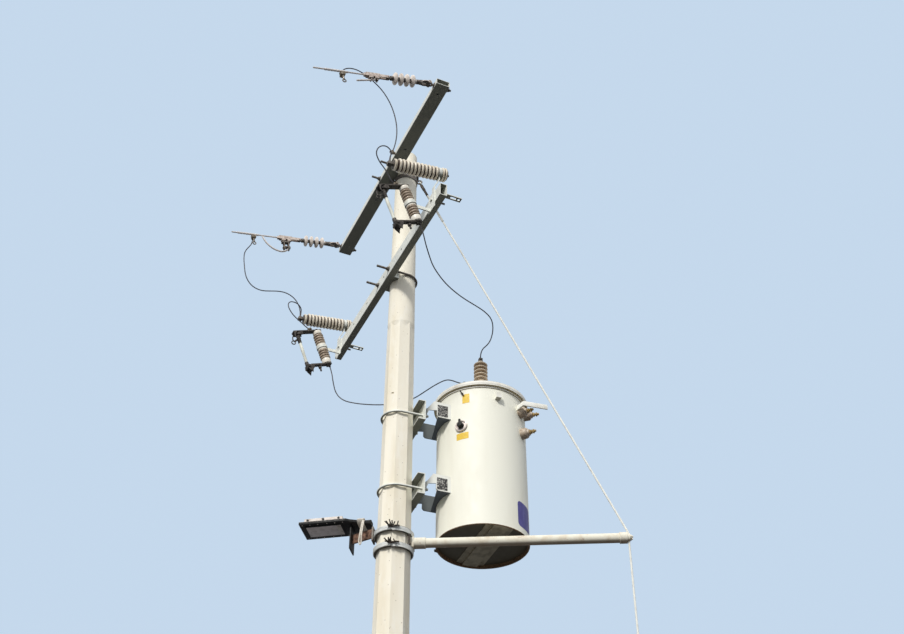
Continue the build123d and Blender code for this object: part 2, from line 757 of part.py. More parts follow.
# tap changer knob in its ring
with BuildPart() as tap_changer:
    way = (cos(radians(tap_angle)), sin(radians(tap_angle)), 0)
    turned(Plane(origin=on_tank(tap_angle, tap_z, -4), x_dir=(0, 0, 1), z_dir=way),
           [(0, 0), (tap_r, 0), (tap_r, 14), (tap_r - 10, 16), (tap_r - 10, 12), (22, 12), (20, 40), (0, 42)])
    clear_of_tank()
save(tap_changer, "tap_changer", pole_turn)

# lifting lugs, one each side
with BuildPart() as lifting_lugs:
    for angle in (-90, 90):
        across = (-sin(radians(angle)), cos(radians(angle)), 0)
        flat(on_tank(angle, lug_z - 16, -4), on_tank(angle, lug_z - 16, lug_out), 36, 8, across)
        flat(on_tank(angle, lug_z - 20, lug_out - 5), on_tank(angle, lug_z + 20, lug_out - 5), 36, 10, across)
    clear_of_tank()
save(lifting_lugs, "lifting_lugs", pole_turn)

# bent bar that stands off the wall beside the secondary bushings
with BuildPart() as side_bar:
    knee = (side_bar_knee_x, side_bar_y, side_bar_z)
    flat(on_tank(-58, side_bar_z, -4), knee, side_bar_h, side_bar_t, (0, 0, 1))
    flat(knee, (side_bar_end_x, side_bar_y, side_bar_z - 16), side_bar_h, side_bar_t, (0, 0, 1))
    with Locations(knee):
        Cylinder(side_bar_t / 2, side_bar_h)
    clear_of_tank()
save(side_bar, "side_bar_bracket", pole_turn)

# cross channels on the pole, hanger brackets on the tank and the bolts that clamp them


def pole_face(z):
    """x of the flat that a cross channel rests on, at the channel's foot"""
    return flats_at(z + channel_up - channel_h) / 2 + seat


def pole_leg(z):
    """half the spread of a U-bolt round the octagon at height z"""
    return corner_r_at(z) + u_bolt_r + 2 * seat


with BuildPart() as mount_channels:
    for z in hanger_z:
        face_x = pole_face(z)
        middle = z + channel_up - channel_h / 2
        block((face_x + channel_deep - channel_t / 2, 0, middle), (channel_t, channel_w, channel_h))
        for end in (-1, 1):
            block((face_x + channel_deep / 2, 0, middle + end * (channel_h - channel_t) / 2),
                  (channel_deep, channel_w, channel_t))
        with Locations(*[Location((face_x, y, z), (0, 90, 0)) for y in (-pole_leg(z), pole_leg(z))]):
            Cylinder(u_bolt_r + 1, 2 * channel_deep + 20, mode=Mode.SUBTRACT)
save(mount_channels, "mount_channels", pole_turn)

with BuildPart() as hanger_brackets:
    for z in hanger_z:
        foot_x = pole_face(z) + channel_deep + seat
        for y in (-hanger_half_w, hanger_half_w - hanger_t):
            with BuildSketch(Plane(origin=(0, y, z), x_dir=(1, 0, 0), z_dir=(0, -1, 0))) as side:
                with BuildLine():
                    Polyline((tank_x - tank_r * 0.8, hanger_low), (hanger_front_x + 12, hanger_low),
                             (hanger_front_x, hanger_low + 12), (hanger_front_x, 44), (foot_x + 28, 34),
                             (foot_x, -hanger_foot_h / 2), (foot_x, hanger_foot_h / 2), (foot_x + 20, 52),
                             (hanger_front_x - 20, hanger_up), (tank_x - tank_r * 0.8, hanger_up), close=True)
                make_face()
            extrude(side.sketch, amount=-hanger_t)
        block((foot_x + hanger_t / 2, 0, z), (hanger_t, 2 * hanger_half_w, hanger_foot_h))
        with Locations(*[Location((foot_x, y, z), (0, 90, 0)) for y in (-pole_leg(z), pole_leg(z))]):
            Cylinder(u_bolt_r + 1, 40, mode=Mode.SUBTRACT)
    clear_of_tank()
save(hanger_brackets, "hanger_brackets", pole_turn)

with BuildPart() as pole_u_bolts:
    for z in hanger_z:
        foot_face = pole_face(z) + channel_deep + hanger_t + 2 * seat
        end = foot_face + washer_t + nut_t + 10
        leg = pole_leg(z)
        with BuildLine() as path:
            Line((end, -leg, z), (0, -leg, z))
            RadiusArc((0, -leg, z), (0, leg, z), leg)
            Line((0, leg, z), (end, leg, z))
        with BuildSketch(Plane(origin=(end, -leg, z), z_dir=(-1, 0, 0))) as face:
            Circle(u_bolt_r)
        sweep(face.sketch, path=path.wires()[0])
        for y in (-leg, leg):
            bar((foot_face, y, z), (foot_face + washer_t, y, z), washer_r - 4)
            hexagon((foot_face + washer_t, y, z), (1, 0, 0))
save(pole_u_bolts, "pole_u_bolts", pole_turn)

# two bands of wound wire round the octagon's corners, the brace and its socket
turn = radians(strut_turn)
strut_way = (cos(turn), sin(turn), 0)
band_out = corner_r_at(lower_band_z - band_h / 2) + seat + band_thick
with BuildPart() as pole_bands:
    for z in (upper_band_z, lower_band_z):
        inner = corner_r_at(z - band_h / 2) + seat
        turned(Plane(origin=(0, 0, z), x_dir=(1, 0, 0), z_dir=(0, 0, 1)),
               [(inner, -band_h / 2), (band_out - 6, -band_h / 2), (band_out, -band_h / 2 + 7),
                (band_out, band_h / 2 - 7), (band_out - 6, band_h / 2), (inner, band_h / 2)])
save(pole_bands, "pole_bands")


def along_strut(s, z=strut_z, off=0):
    """point s out from the pole centre along the brace"""
    return (strut_way[0] * s - strut_way[1] * off, strut_way[1] * s + strut_way[0] * off, z)


socket_start = band_out + seat + 7
with BuildPart() as brace_socket:
    bar(along_strut(socket_start), along_strut(socket_start + socket_len), strut_r + 5)
    block(along_strut(socket_start, (upper_band_z + lower_band_z) / 2), (14, 76, 170), strut_turn)
save(brace_socket, "brace_socket")

with BuildPart() as brace_pipe:
    bar(along_strut(socket_start + socket_len + seat), along_strut(strut_end - 44 - seat), strut_r)
save(brace_pipe, "brace_pipe")

with BuildPart() as brace_end:
    bar(along_strut(strut_end - 44), along_strut(strut_end), strut_r + 5)
    bar(along_strut(strut_end), along_strut(strut_end + 16), 27)
    for off in (-14, 14):
        bar(along_strut(strut_end + 16, off=off), along_strut(strut_end + 34, off=off), 6)
        hexagon(along_strut(strut_end + 16, off=off), strut_way, 20, 10)
    # slot that grips the guy
    bar_hole = along_strut(strut_end + 8)
    with Locations(bar_hole):
        Cylinder(guy_r + seat, 90, mode=Mode.SUBTRACT)
save(brace_end, "brace_end_fitting")

# guy wire: from the pole's top over the end of the brace and down to the anchor rod
grip_r = guy_r + 2.5
strut_side = (-strut_way[1], strut_way[0], 0)
guy_line = strut_end + 8
guy_eye = along_strut(round_r_at(guy_top_z) + 6 + eye_major, guy_top_z)
guy_bend = along_strut(guy_line, strut_z + 36)
guy_way = (Vector(*guy_bend) - Vector(*guy_eye)).normalized()
loop_step = eye_major - eye_minor - guy_r - seat
rod_eye = along_strut(guy_line, rod_top + eye_major)


def on_guy(t):
    """point t below the guy's upper eye, along the wire"""
    return tuple(Vector(*guy_eye) + guy_way * t)


with BuildPart() as guy_band:
    low = guy_top_z - 19
    turned(Plane(origin=(0, 0, low), x_dir=(1, 0, 0), z_dir=(0, 0, 1)),
           [(round_r_at(low) + seat, 0), (round_r_at(low) + 6, 0), (round_r_at(low) + 6, 38),
            (round_r_at(low) + seat, 38)])
    ring(guy_eye, strut_side, eye_major, eye_minor)
    # the two clamp ears of the band, on the far side, with their bolt
    for off in (-9, 9):
        block(along_strut(-round_r_at(low) - 20, guy_top_z, off), (38, 6, 38), strut_turn)
    ear_s = -round_r_at(low) - 24
    bar(along_strut(ear_s, guy_top_z, -24), along_strut(ear_s, guy_top_z, 24), 6)
save(guy_band, "guy_band")

with BuildPart() as guy_wire:
    bar(on_guy(loop_step + 2 * loop_major), guy_bend, guy_r)
    with Locations(guy_bend):
        Sphere(guy_r)
    bar(on_guy(loop_step + 2 * loop_major), on_guy(grip_len), grip_r)
    ring(on_guy(loop_step + loop_major), tuple(guy_way.cross(Vector(*strut_side))), loop_major, guy_r)
save(guy_wire, "guy_wire")

with BuildPart() as lower_guy_wire:
    foot = rod_eye[2] + loop_step + 2 * loop_major
    bar(along_strut(guy_line, guy_bend[2] - guy_r - seat), along_strut(guy_line, foot), guy_r)
    bar(along_strut(guy_line, foot), along_strut(guy_line, rod_eye[2] + grip_len), grip_r)
    ring(along_strut(guy_line, foot - loop_major), strut_way, loop_major, guy_r)
save(lower_guy_wire, "lower_guy_wire")

with BuildPart() as anchor_rod:
    bar(along_strut(guy_line, 0), along_strut(guy_line, rod_top), rod_base_r)
    ring(rod_eye, strut_side, eye_major, eye_minor)
save(anchor_rod, "anchor_rod")

# street lamp on its bracket
lamp_dir = radians(lamp_turn)


def by_lamp(s, z, off=0):
    """point s out from the pole centre toward the lamp"""
    return (cos(lamp_dir) * s - sin(lamp_dir) * off, sin(lamp_dir) * s + cos(lamp_dir) * off, z)


head_start = lamp_out - lamp_len / 2
with BuildPart() as lamp_head:
    with BuildSketch(Plane.XY.offset(lamp_z)) as outline:
        with BuildLine():
            Polyline(*[by_lamp(s, 0, off)[:2] for s, off in (
                (head_start - neck_len, -neck_end_w / 2), (head_start - 20, -lamp_w / 2 + 16),
                (head_start, -lamp_w / 2), (head_start + lamp_len, -lamp_w / 2),
                (head_start + lamp_len, lamp_w / 2), (head_start, lamp_w / 2), (head_start - 20, lamp_w / 2 - 16),
                (head_start - neck_len, neck_end_w / 2))], close=True)
        make_face()
    extrude(outline.sketch, amount=lamp_plate_t)
    block(by_lamp(lamp_out, lamp_z + lamp_plate_t + lamp_box_h / 2),
          (lamp_len - 2 * lamp_box_inset, lamp_w - 2 * lamp_box_inset, lamp_box_h), lamp_turn)
    block(by_lamp(head_start - neck_len / 2, lamp_z + lamp_plate_t + 8), (neck_len, 52, 16), lamp_turn)
save(lamp_head, "lamp_head")
with BuildPart() as lamp_lens:
    with Locations(Location(by_lamp(lamp_out, lamp_z - lens_t / 2 - seat), (0, 0, lamp_turn))):
        Box(lens_len, lens_w, lens_t)
save(lamp_lens, "lamp_lens")
with BuildPart() as lamp_bracket:
    start = band_out + seat
    pad_z = lamp_arm_z + lamp_arm_rise / 2
    block(by_lamp(start + lamp_pad_t / 2, pad_z), (lamp_pad_t, lamp_pad_w, lamp_arm_h + lamp_arm_rise), lamp_turn)
    with BuildSketch(Plane(origin=(0, 0, 0), x_dir=by_lamp(1, 0), z_dir=by_lamp(0, 0, -1))) as sloped_arm:
        with BuildLine():
            root, tip, half = lamp_arm_z + lamp_arm_rise, lamp_arm_z, lamp_arm_h / 2
            Polyline((start, root - half), (lamp_flange_out, tip - half), (lamp_flange_out, tip + half),
                     (start, root + half), close=True)
        make_face()
    extrude(sloped_arm.sketch, amount=lamp_arm_t / 2, both=True)
    flange_top = lamp_z - seat
    block(by_lamp(lamp_flange_out, (flange_top + lamp_flange_low) / 2),
          (8, lamp_flange_w, flange_top - lamp_flange_low), lamp_turn)
save(lamp_bracket, "lamp_bracket")

# jumper wires: free copper wires between the terminals, each a node of its own

def wire(name, points, r=jumper_r):
    """free wire of straight runs joined by arcs, each arc as large as its two runs allow"""
    pts = [Vector(*p) for p in points]
    radii = []
    for a, b, c in zip(pts, pts[1:], pts[2:]):
        half_turn = radians((b - a).get_angle(c - b)) / 2
        radii.append(0.45 * min((b - a).length, (c - b).length) / tan(half_turn))
    with BuildPart() as cord:
        with BuildLine() as path:
            FilletPolyline(*points, radius=radii)
        with BuildSketch(Plane(origin=points[0], z_dir=(pts[1] - pts[0]).normalized())) as face:
            Circle(r)
        sweep(face.sketch, path=path.wires()[0])
    run = path.wires()[0].length
    runs = [(b - a).length for a, b in zip(pts, pts[1:])]
    print(name, "length", round(run), "volume share", round(cord.part.volume / (pi * r * r * run), 4),
          "runs", [round(v) for v in runs], "radii", [round(v) for v in radii])
    save(cord, name)


near_hold = on_string(-string_y, near_drop, near_grip, 22)
far_hold = on_string(string_y, far_drop, far_grip, 22)

hv_top = tank_top + hv_stud
wire("near_line_jumper", [
    (near_hold[0], -string_y + lug_y, near_hold[2] + 13), (near_hold[0], -string_y + lug_y, near_hold[2] + 51),
    (-838, -924, 8875), (-772, -922, 8899), (-700, -917, 8884), (-640, -916, 8848), (-585, -918, 8800),
    (-538, -919, 8742), (-495, -914, 8673), (-462, -907, 8595), (-442, -904, 8511), (-433, -902, 8424),
    (-435, -890, 8332), (-451, -884, 8246), (terminal_x, near_arrester_y + 7, terminal_top + 58),
    (terminal_x, near_arrester_y + 7, terminal_top)])
wire("near_cutout_jumper", [
    (terminal_x, near_arrester_y - 8, terminal_top), (terminal_x, near_arrester_y - 8, terminal_top + 37),
    (-474, -923, 8201), (-516, -928, 8231), (-564, -918, 8215), (-577, -892, 8171), (-541, -870, 8124),
    (-499, -860, 8088), (-463, -852, 8047), top_terminal(near_cutout_y, 38), top_terminal(near_cutout_y, 0)])
wire("far_line_jumper", [
    (far_hold[0], string_y + lug_y, far_hold[2] - 13), (far_hold[0], string_y + lug_y, far_hold[2] - 60),
    (-948, 964, 8690), (-972, 958, 8632), (-972, 954, 8560), (-959, 951, 8480), (-944, 950, 8400),
    (-912, 949, 8335), (-862, 947, 8292), (-795, 944, 8281), (-727, 942, 8302), (-661, 940, 8322), (-597, 939, 8323),
    (-537, 938, 8293), (-497, 937, 8238), (terminal_x, far_arrester_y + 8, terminal_top + 60),
    (terminal_x, far_arrester_y + 8, terminal_top)])
wire("far_cutout_jumper", [
    (terminal_x, far_arrester_y - 8, terminal_top), (terminal_x, far_arrester_y - 8, terminal_top + 38),
    (-478, 914, 8188), (-514, 907, 8225), (-579, 894, 8216), (-600, 885, 8162), (-557, 895, 8101),
    (-508, 894, 8060), (-464, 892, 8029), top_terminal(far_cutout_y, 38), top_terminal(far_cutout_y, 0)])
wire("near_tank_jumper", [
    foot_terminal(near_cutout_y, 0), foot_terminal(near_cutout_y, 52), (-167, -813, 7567), (-116, -753, 7536),
    (-55, -678, 7521), (25, -610, 7512), (107, -547, 7513), (200, -493, 7515), (294, -444, 7524),
    (392, -401, 7536), (488, -358, 7543), (567, -304, 7539), (603, -242, 7489), (590, -205, 7406),
    turned_point(hv_x, -hv_y, hv_top + 71), turned_point(hv_x, -hv_y, hv_top)])
wire("far_tank_jumper", [
    foot_terminal(far_cutout_y, 0), foot_terminal(far_cutout_y, 51), (-191, 876, 7553), (-162, 881, 7455),
    (-109, 855, 7387), (-27, 802, 7352), (47, 731, 7318), (107, 646, 7279), (161, 553, 7242), (210, 463, 7212),
    (272, 378, 7216), (320, 311, 7244), (375, 259, 7284), (432, 202, 7311), (455, 146, 7279),
    turned_point(hv_x - hv_clamp / 2 - 38, hv_y, hv_top - hv_clamp / 2),
    turned_point(hv_x - hv_clamp / 2, hv_y, hv_top - hv_clamp / 2)])
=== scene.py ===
"""Dressed model of a pole-mounted distribution transformer on an octagonal concrete pole.

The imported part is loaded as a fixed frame. Each sub-assembly is a class that models the pieces that
show more detail than the frame has, gives every piece its finish and sets it on its body.
"""
import json
import logging
import math
import random
from dataclasses import dataclass
from enum import Enum
from typing import Callable, Sequence

import bmesh
import bpy
from mathutils import Euler, Matrix, Quaternion, Vector

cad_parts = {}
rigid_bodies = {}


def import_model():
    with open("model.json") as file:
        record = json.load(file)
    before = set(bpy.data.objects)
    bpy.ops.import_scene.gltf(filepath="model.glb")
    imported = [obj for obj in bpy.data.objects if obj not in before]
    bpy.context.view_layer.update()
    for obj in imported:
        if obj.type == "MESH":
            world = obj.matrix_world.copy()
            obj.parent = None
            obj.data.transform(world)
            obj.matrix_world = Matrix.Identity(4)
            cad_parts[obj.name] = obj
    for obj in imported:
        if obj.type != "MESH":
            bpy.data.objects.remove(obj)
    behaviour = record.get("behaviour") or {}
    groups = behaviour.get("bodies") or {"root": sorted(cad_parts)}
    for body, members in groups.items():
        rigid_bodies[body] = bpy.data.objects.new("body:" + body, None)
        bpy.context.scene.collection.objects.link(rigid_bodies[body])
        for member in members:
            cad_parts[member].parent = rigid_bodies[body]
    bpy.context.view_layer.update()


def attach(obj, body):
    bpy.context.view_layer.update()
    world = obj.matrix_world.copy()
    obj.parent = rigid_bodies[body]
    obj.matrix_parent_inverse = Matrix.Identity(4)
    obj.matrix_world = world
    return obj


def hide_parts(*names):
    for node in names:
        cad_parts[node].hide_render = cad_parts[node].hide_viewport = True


LOG = logging.getLogger("pole_transformer")
POLE_BODY = "pole_assembly"
# The octagon's turn about the pole's middle line, which the tank and its hangers follow
POLE_TURN = Matrix.Rotation(math.radians(-4), 4, "Z")
ON_EDGE = Matrix.Rotation(math.pi / 2, 4, "X")
DIALS = ("Across", "Along", "Start", "Full", "Strength")
RUST_EDGE = 0.09
Piece = bpy.types.Object
Socket = bpy.types.NodeSocket
Tree = bpy.types.NodeTree
Shade = tuple[int, int, int]
Tone = tuple[float, ...] | Socket
Place = tuple[float, float, float]
Profile = Sequence[tuple[float, float]]
Line = Sequence[Sequence[float]]


# Finishes
def linear(shade: Shade) -> tuple[float, float, float, float]:
    """Turns a screen colour, 0 to 255, into the linear colour and alpha that a shader takes."""
    parts = [value / 255 for value in shade]
    return (*(part / 12.92 if part < 0.04045 else ((part + 0.055) / 1.055) ** 2.4 for part in parts), 1.0)


def blend(tree: Tree, amount: Socket, low: Tone, high: Tone) -> Socket:
    """Mixes two tones, each a linear colour or the socket of one.

    Args:
        tree: the node tree to add to.
        amount: the socket that goes from zero for the low tone to one for the high one.
        low: the tone where the amount is zero.
        high: the tone where it is one.

    Returns:
        The socket of the mixed colour.
    """
    mix = tree.nodes.new("ShaderNodeMix")
    mix.data_type = "RGBA"
    tree.links.new(amount, mix.inputs[0])
    for socket, tone in ((mix.inputs[6], low), (mix.inputs[7], high)):
        if isinstance(tone, tuple):
            socket.default_value = tone
        else:
            tree.links.new(tone, socket)
    return mix.outputs[2]


class Pattern(Enum):
    """Surface patterns that the finishes share, each one node group."""

    CLOUDS = "Cloudy tone"
    SPANGLE = "Zinc spangle"
    PITS = "Small pits"
    PATCHES = "Ragged patches"
    # Painted shade: darkens the faces that look down
    UNDERSIDE = "Faces that look down"
    HEIGHT = "Height above ground"
    # Painted shade: darkens the hangers' faces behind their near plates
    INSIDE = "Depth behind the near plates"


class PatternShop:
    """Makes each pattern's node group once and hands it out to the finishes."""

    def __init__(self) -> None:
        """Starts with no groups made."""
        self.made: dict[Pattern, Tree] = {}

    def group(self, pattern: Pattern) -> Tree:
        """Gives the node group of a pattern.

        Args:
            pattern: the pattern wanted.

        Returns:
            Its node group, whose Mask goes from zero to its Strength.
        """
        if pattern not in self.made:
            self.made[pattern] = self._make(pattern)
        return self.made[pattern]

    def _make(self, pattern: Pattern) -> Tree:
        """Makes the node group of one pattern.

        Args:
            pattern: the pattern to make.

        Returns:
            The new group.
        """
        tree = bpy.data.node_groups.new(pattern.value, "ShaderNodeTree")
        tree.interface.new_socket(name="Vector", in_out="INPUT", socket_type="NodeSocketVector")
        for dial in DIALS:
            tree.interface.new_socket(name=dial, in_out="INPUT", socket_type="NodeSocketFloat")
        tree.interface.new_socket(name="Mask", in_out="OUTPUT", socket_type="NodeSocketFloat")
        enter = tree.nodes.new("NodeGroupInput")
        scale = tree.nodes.new("ShaderNodeCombineXYZ")
        for axis, name in enumerate(("Across", "Across", "Along")):
            tree.links.new(enter.outputs[name], scale.inputs[axis])
        stretch = tree.nodes.new("ShaderNodeVectorMath")
        stretch.operation = "MULTIPLY"
        tree.links.new(enter.outputs["Vector"], stretch.inputs[0])
        tree.links.new(scale.outputs[0], stretch.inputs[1])
        ramp = tree.nodes.new("ShaderNodeMapRange")
        ramp.interpolation_type = "SMOOTHSTEP"
        tree.links.new(self._tone(pattern, tree, stretch.outputs[0]), ramp.inputs["Value"])
        tree.links.new(enter.outputs["Start"], ramp.inputs["From Min"])
        tree.links.new(enter.outputs["Full"], ramp.inputs["From Max"])
        tree.links.new(enter.outputs["Strength"], ramp.inputs["To Max"])
        leave = tree.nodes.new("NodeGroupOutput")
        tree.links.new(ramp.outputs["Result"], leave.inputs["Mask"])
        return tree

    @staticmethod
    def _tone(pattern: Pattern, tree: Tree, vector: Socket) -> Socket:
        """Adds the nodes that make a pattern's raw tone.

        Args:
            pattern: the pattern being made.
            tree: the node group to add to.
            vector: the scaled position, or the scaled normal for the painted shade below.

        Returns:
            The socket that carries the raw tone.
        """
        if pattern in (Pattern.SPANGLE, Pattern.PITS):
            cells = tree.nodes.new("ShaderNodeTexVoronoi")
            cells.inputs["Scale"].default_value = 1.0
            tree.links.new(vector, cells.inputs["Vector"])
            if pattern is Pattern.PITS:
                return cells.outputs["Distance"]
            split = tree.nodes.new("ShaderNodeSeparateColor")
            tree.links.new(cells.outputs["Color"], split.inputs[0])
            return split.outputs[0]
        if pattern in (Pattern.UNDERSIDE, Pattern.HEIGHT, Pattern.INSIDE):
            split = tree.nodes.new("ShaderNodeSeparateXYZ")
            tree.links.new(vector, split.inputs[0])
            return split.outputs["Y" if pattern is Pattern.INSIDE else "Z"]
        noise = tree.nodes.new("ShaderNodeTexNoise")
        noise.inputs["Scale"].default_value = 1.0
        noise.inputs["Detail"].default_value = 9.0 if pattern is Pattern.PATCHES else 4.0
        noise.inputs["Roughness"].default_value = 0.68 if pattern is Pattern.PATCHES else 0.5
        tree.links.new(vector, noise.inputs["Vector"])
        return noise.outputs[0]


@dataclass(frozen=True)
class Layer:
    """One tone laid over a finish's own colour, where its pattern shows."""

    pattern: Pattern
    shade: Shade
    across: float = 1.0
    along: float = 1.0
    start: float = 0.4
    full: float = 0.6
    strength: float = 1.0


@dataclass(frozen=True)
class Finish:
    """A surface finish: a colour, the tones laid over it, its gloss and its grain.

    Grain is in grains a metre, wear is how many times coarser the worn spots of the gloss are across and
    along, and depth is the real height of the grain.
    """

    name: str
    slot: str
    shade: Shade
    layers: tuple[Layer, ...]
    rough: tuple[float, float] = (0.5, 0.7)
    metallic: float = 0.0
    coat: float = 0.0
    coat_rough: float = 0.15
    grain: float = 900.0
    wear: tuple[float, float] = (9.0, 12.0)
    depth: float = 0.0002
    relief: float = 0.7

    def material(self, shop: PatternShop) -> bpy.types.Material:
        """Builds the material of this finish.

        Args:
            shop: the maker of the shared patterns.

        Returns:
            The new material.
        """
        material = bpy.data.materials.new(self.name)
        material.use_nodes = True
        tree = material.node_tree
        shader = tree.nodes["Principled BSDF"]
        shader.inputs["Metallic"].default_value = self.metallic
        shader.inputs["Coat Weight"].default_value = self.coat
        shader.inputs["Coat Roughness"].default_value = self.coat_rough
        position = tree.nodes.new("ShaderNodeTexCoord").outputs["Object"]
        facing = tree.nodes.new("ShaderNodeNewGeometry").outputs["Normal"]

        def mask(layer: Layer) -> Socket:
            """Adds a layer's pattern to the material.

            Args:
                layer: the layer, with its pattern and its dials.

            Returns:
                The socket of its mask.
            """
            node = tree.nodes.new("ShaderNodeGroup")
            node.node_tree = shop.group(layer.pattern)
            tree.links.new(facing if layer.pattern is Pattern.UNDERSIDE else position, node.inputs["Vector"])
            for dial in DIALS:
                node.inputs[dial].default_value = getattr(layer, dial.lower())
            return node.outputs["Mask"]

        colour: Tone = linear(self.shade)
        for layer in self.layers:
            colour = blend(tree, mask(layer), colour, linear(layer.shade))
        tree.links.new(colour, shader.inputs["Base Color"])
        worn = tree.nodes.new("ShaderNodeMapRange")
        worn.inputs["To Min"].default_value, worn.inputs["To Max"].default_value = self.rough
        across, along = self.grain / self.wear[0], self.grain / self.wear[1]
        tree.links.new(mask(clouds(self.shade, across, 0.3, 0.7, 1.0, along)), worn.inputs["Value"])
        tree.links.new(worn.outputs["Result"], shader.inputs["Roughness"])
        bump = tree.nodes.new("ShaderNodeBump")
        bump.inputs["Strength"].default_value = self.relief
        bump.inputs["Distance"].default_value = self.depth
        tree.links.new(mask(clouds(self.shade, self.grain, 0.2, 0.8, 1.0)), bump.inputs["Height"])
        tree.links.new(bump.outputs["Normal"], shader.inputs["Normal"])
        return material


def clouds(shade: Shade, across: float, start: float, full: float, strength: float, along: float = 0.0) -> Layer:
    """Gives a layer of cloudy tone, as fine up the piece as across it unless along is given."""
    return Layer(Pattern.CLOUDS, shade, across, along or across, start, full, strength)


def patches(shade: Shade, across: float, start: float, full: float, strength: float, along: float = 0.0) -> Layer:
    """Gives a layer of ragged patches, as fine up the piece as across it unless along is given."""
    return Layer(Pattern.PATCHES, shade, across, along or across, start, full, strength)


def underside(shade: Shade, start: float, full: float, strength: float) -> Layer:
    """Gives a layer of painted shade over the faces that look down, from one height of their normal to another."""
    return Layer(Pattern.UNDERSIDE, shade, 1.0, 1.0, start, full, strength)


def rust(across: float, start: float, strength: float = 0.8, along: float = 0.0,
         shade: Shade = (124, 78, 50)) -> Layer:
    """Gives a layer of rust, which shows from a noise level on, so a higher start gives less of it."""
    return patches(shade, across, start, start + RUST_EDGE, strength, along)


CONCRETE = Finish("cast_concrete", "concrete", (250, 244, 227), (
    clouds((233, 223, 199), 9.0, 0.42, 0.72, 0.7, 1.1), clouds((253, 250, 239), 26.0, 0.5, 0.74, 0.5, 7.0),
    Layer(Pattern.PITS, (168, 156, 134), 30.0, 24.0, 0.13, 0.05, 0.6), rust(11.0, 0.67, 0.45, 3.0, (176, 142, 102)),
    Layer(Pattern.HEIGHT, (176, 160, 132), 1.0, 1.0, 0.55, 0.0, 0.6)), (0.8, 0.95), grain=240.0, depth=0.0012)
# The underside layer is painted shade on the faces that look down
GALVANISED = Finish("galvanised_steel", "galvanised_steel", (242, 243, 235), (
    Layer(Pattern.SPANGLE, (224, 227, 220), 75.0, 75.0, 0.1, 0.9, 0.6),
    clouds((212, 214, 205), 14.0, 0.5, 0.75, 0.5, 9.0), underside((84, 86, 74), -0.35, -0.9, 0.9),
    rust(24.0, 0.67, 0.6)), (0.5, 0.68), 0.12, grain=650.0)
# The underside layer is painted shade on the faces that look down
HARDWARE = Finish("weathered_hardware", "galvanised_steel", (134, 128, 120), (
    Layer(Pattern.SPANGLE, (100, 96, 92), 110.0, 110.0, 0.1, 0.9, 0.6), rust(60.0, 0.52, 0.75, shade=(96, 66, 48)),
    underside((44, 42, 38), -0.3, -0.9, 0.7)), (0.5, 0.7), 0.3)
DARK_IRON = Finish("dark_tie_wire", "galvanised_steel", (70, 64, 58), (
    rust(70.0, 0.5, 0.7, shade=(84, 58, 44)), clouds((104, 98, 90), 120.0, 0.5, 0.7, 0.6)), (0.55, 0.8), 0.2,
    grain=1200.0)
BAND_WIRE = Finish("wound_band_wire", "galvanised_steel", (238, 240, 237), (
    clouds((206, 208, 202), 30.0, 0.42, 0.7, 0.7, 120.0), rust(40.0, 0.66, 0.5)), (0.42, 0.62), 0.1)
STRAND = Finish("guy_strand", "steel_strand", (240, 240, 232), (
    clouds((216, 214, 206), 90.0, 0.4, 0.7, 0.6, 30.0), rust(26.0, 0.69, 0.5)), (0.42, 0.6), grain=1500.0)
LINE_WIRE = Finish("line_aluminium", "line_aluminium", (236, 230, 226), (
    clouds((204, 198, 194), 80.0, 0.4, 0.7, 0.6, 60.0),), (0.42, 0.6), grain=1500.0)
# The underside layer is painted shade on the faces that look down
CASTING = Finish("cast_clamps", "cast_aluminium", (226, 212, 200), (
    clouds((172, 154, 144), 70.0, 0.42, 0.66, 0.8), rust(50.0, 0.6, 0.4, shade=(132, 96, 76)),
    underside((84, 72, 66), -0.2, -0.8, 0.8)), (0.5, 0.72), 0.12, depth=0.0004)
# The pale patches are painted highlights, and the underside layer is painted shade
DARK_CASTING = Finish("cutout_castings", "cast_aluminium", (96, 90, 84), (
    clouds((60, 55, 51), 60.0, 0.4, 0.62, 0.85), patches((186, 176, 160), 52.0, 0.6, 0.68, 0.75),
    underside((38, 35, 32), -0.2, -0.8, 0.7)), (0.5, 0.72), 0.25, depth=0.0004)
BRONZE = Finish("dull_bronze", "bronze", (138, 126, 108), (
    clouds((88, 80, 70), 90.0, 0.4, 0.66, 0.8), patches((222, 214, 200), 60.0, 0.58, 0.66, 0.8)), (0.4, 0.62), 0.3)
BRASS = Finish("terminal_brass", "polymer_dark", (190, 164, 110), (
    clouds((136, 114, 74), 90.0, 0.4, 0.66, 0.8),), (0.35, 0.55), 0.4)
STRING_POLYMER = Finish("string_polymer", "polymer_grey", (238, 228, 218), (
    clouds((208, 194, 184), 28.0, 0.42, 0.7, 0.7),
    Layer(Pattern.PITS, (168, 156, 150), 160.0, 160.0, 0.1, 0.04, 0.5)), grain=700.0)
# Painted shade for the sheds' faces towards the arm and the core between them
SHED_SHADE = Finish("shed_painted_shade", "polymer_grey", (62, 56, 54), (
    clouds((92, 82, 78), 40.0, 0.45, 0.7, 0.7),), (0.6, 0.8), grain=700.0)
ARRESTER_GLAZE = Finish("arrester_glaze", "porcelain", (238, 229, 211), (
    clouds((208, 194, 172), 24.0, 0.4, 0.7, 0.7), rust(40.0, 0.63, 0.45, shade=(156, 132, 108))), (0.32, 0.5),
    coat=0.2, grain=420.0)
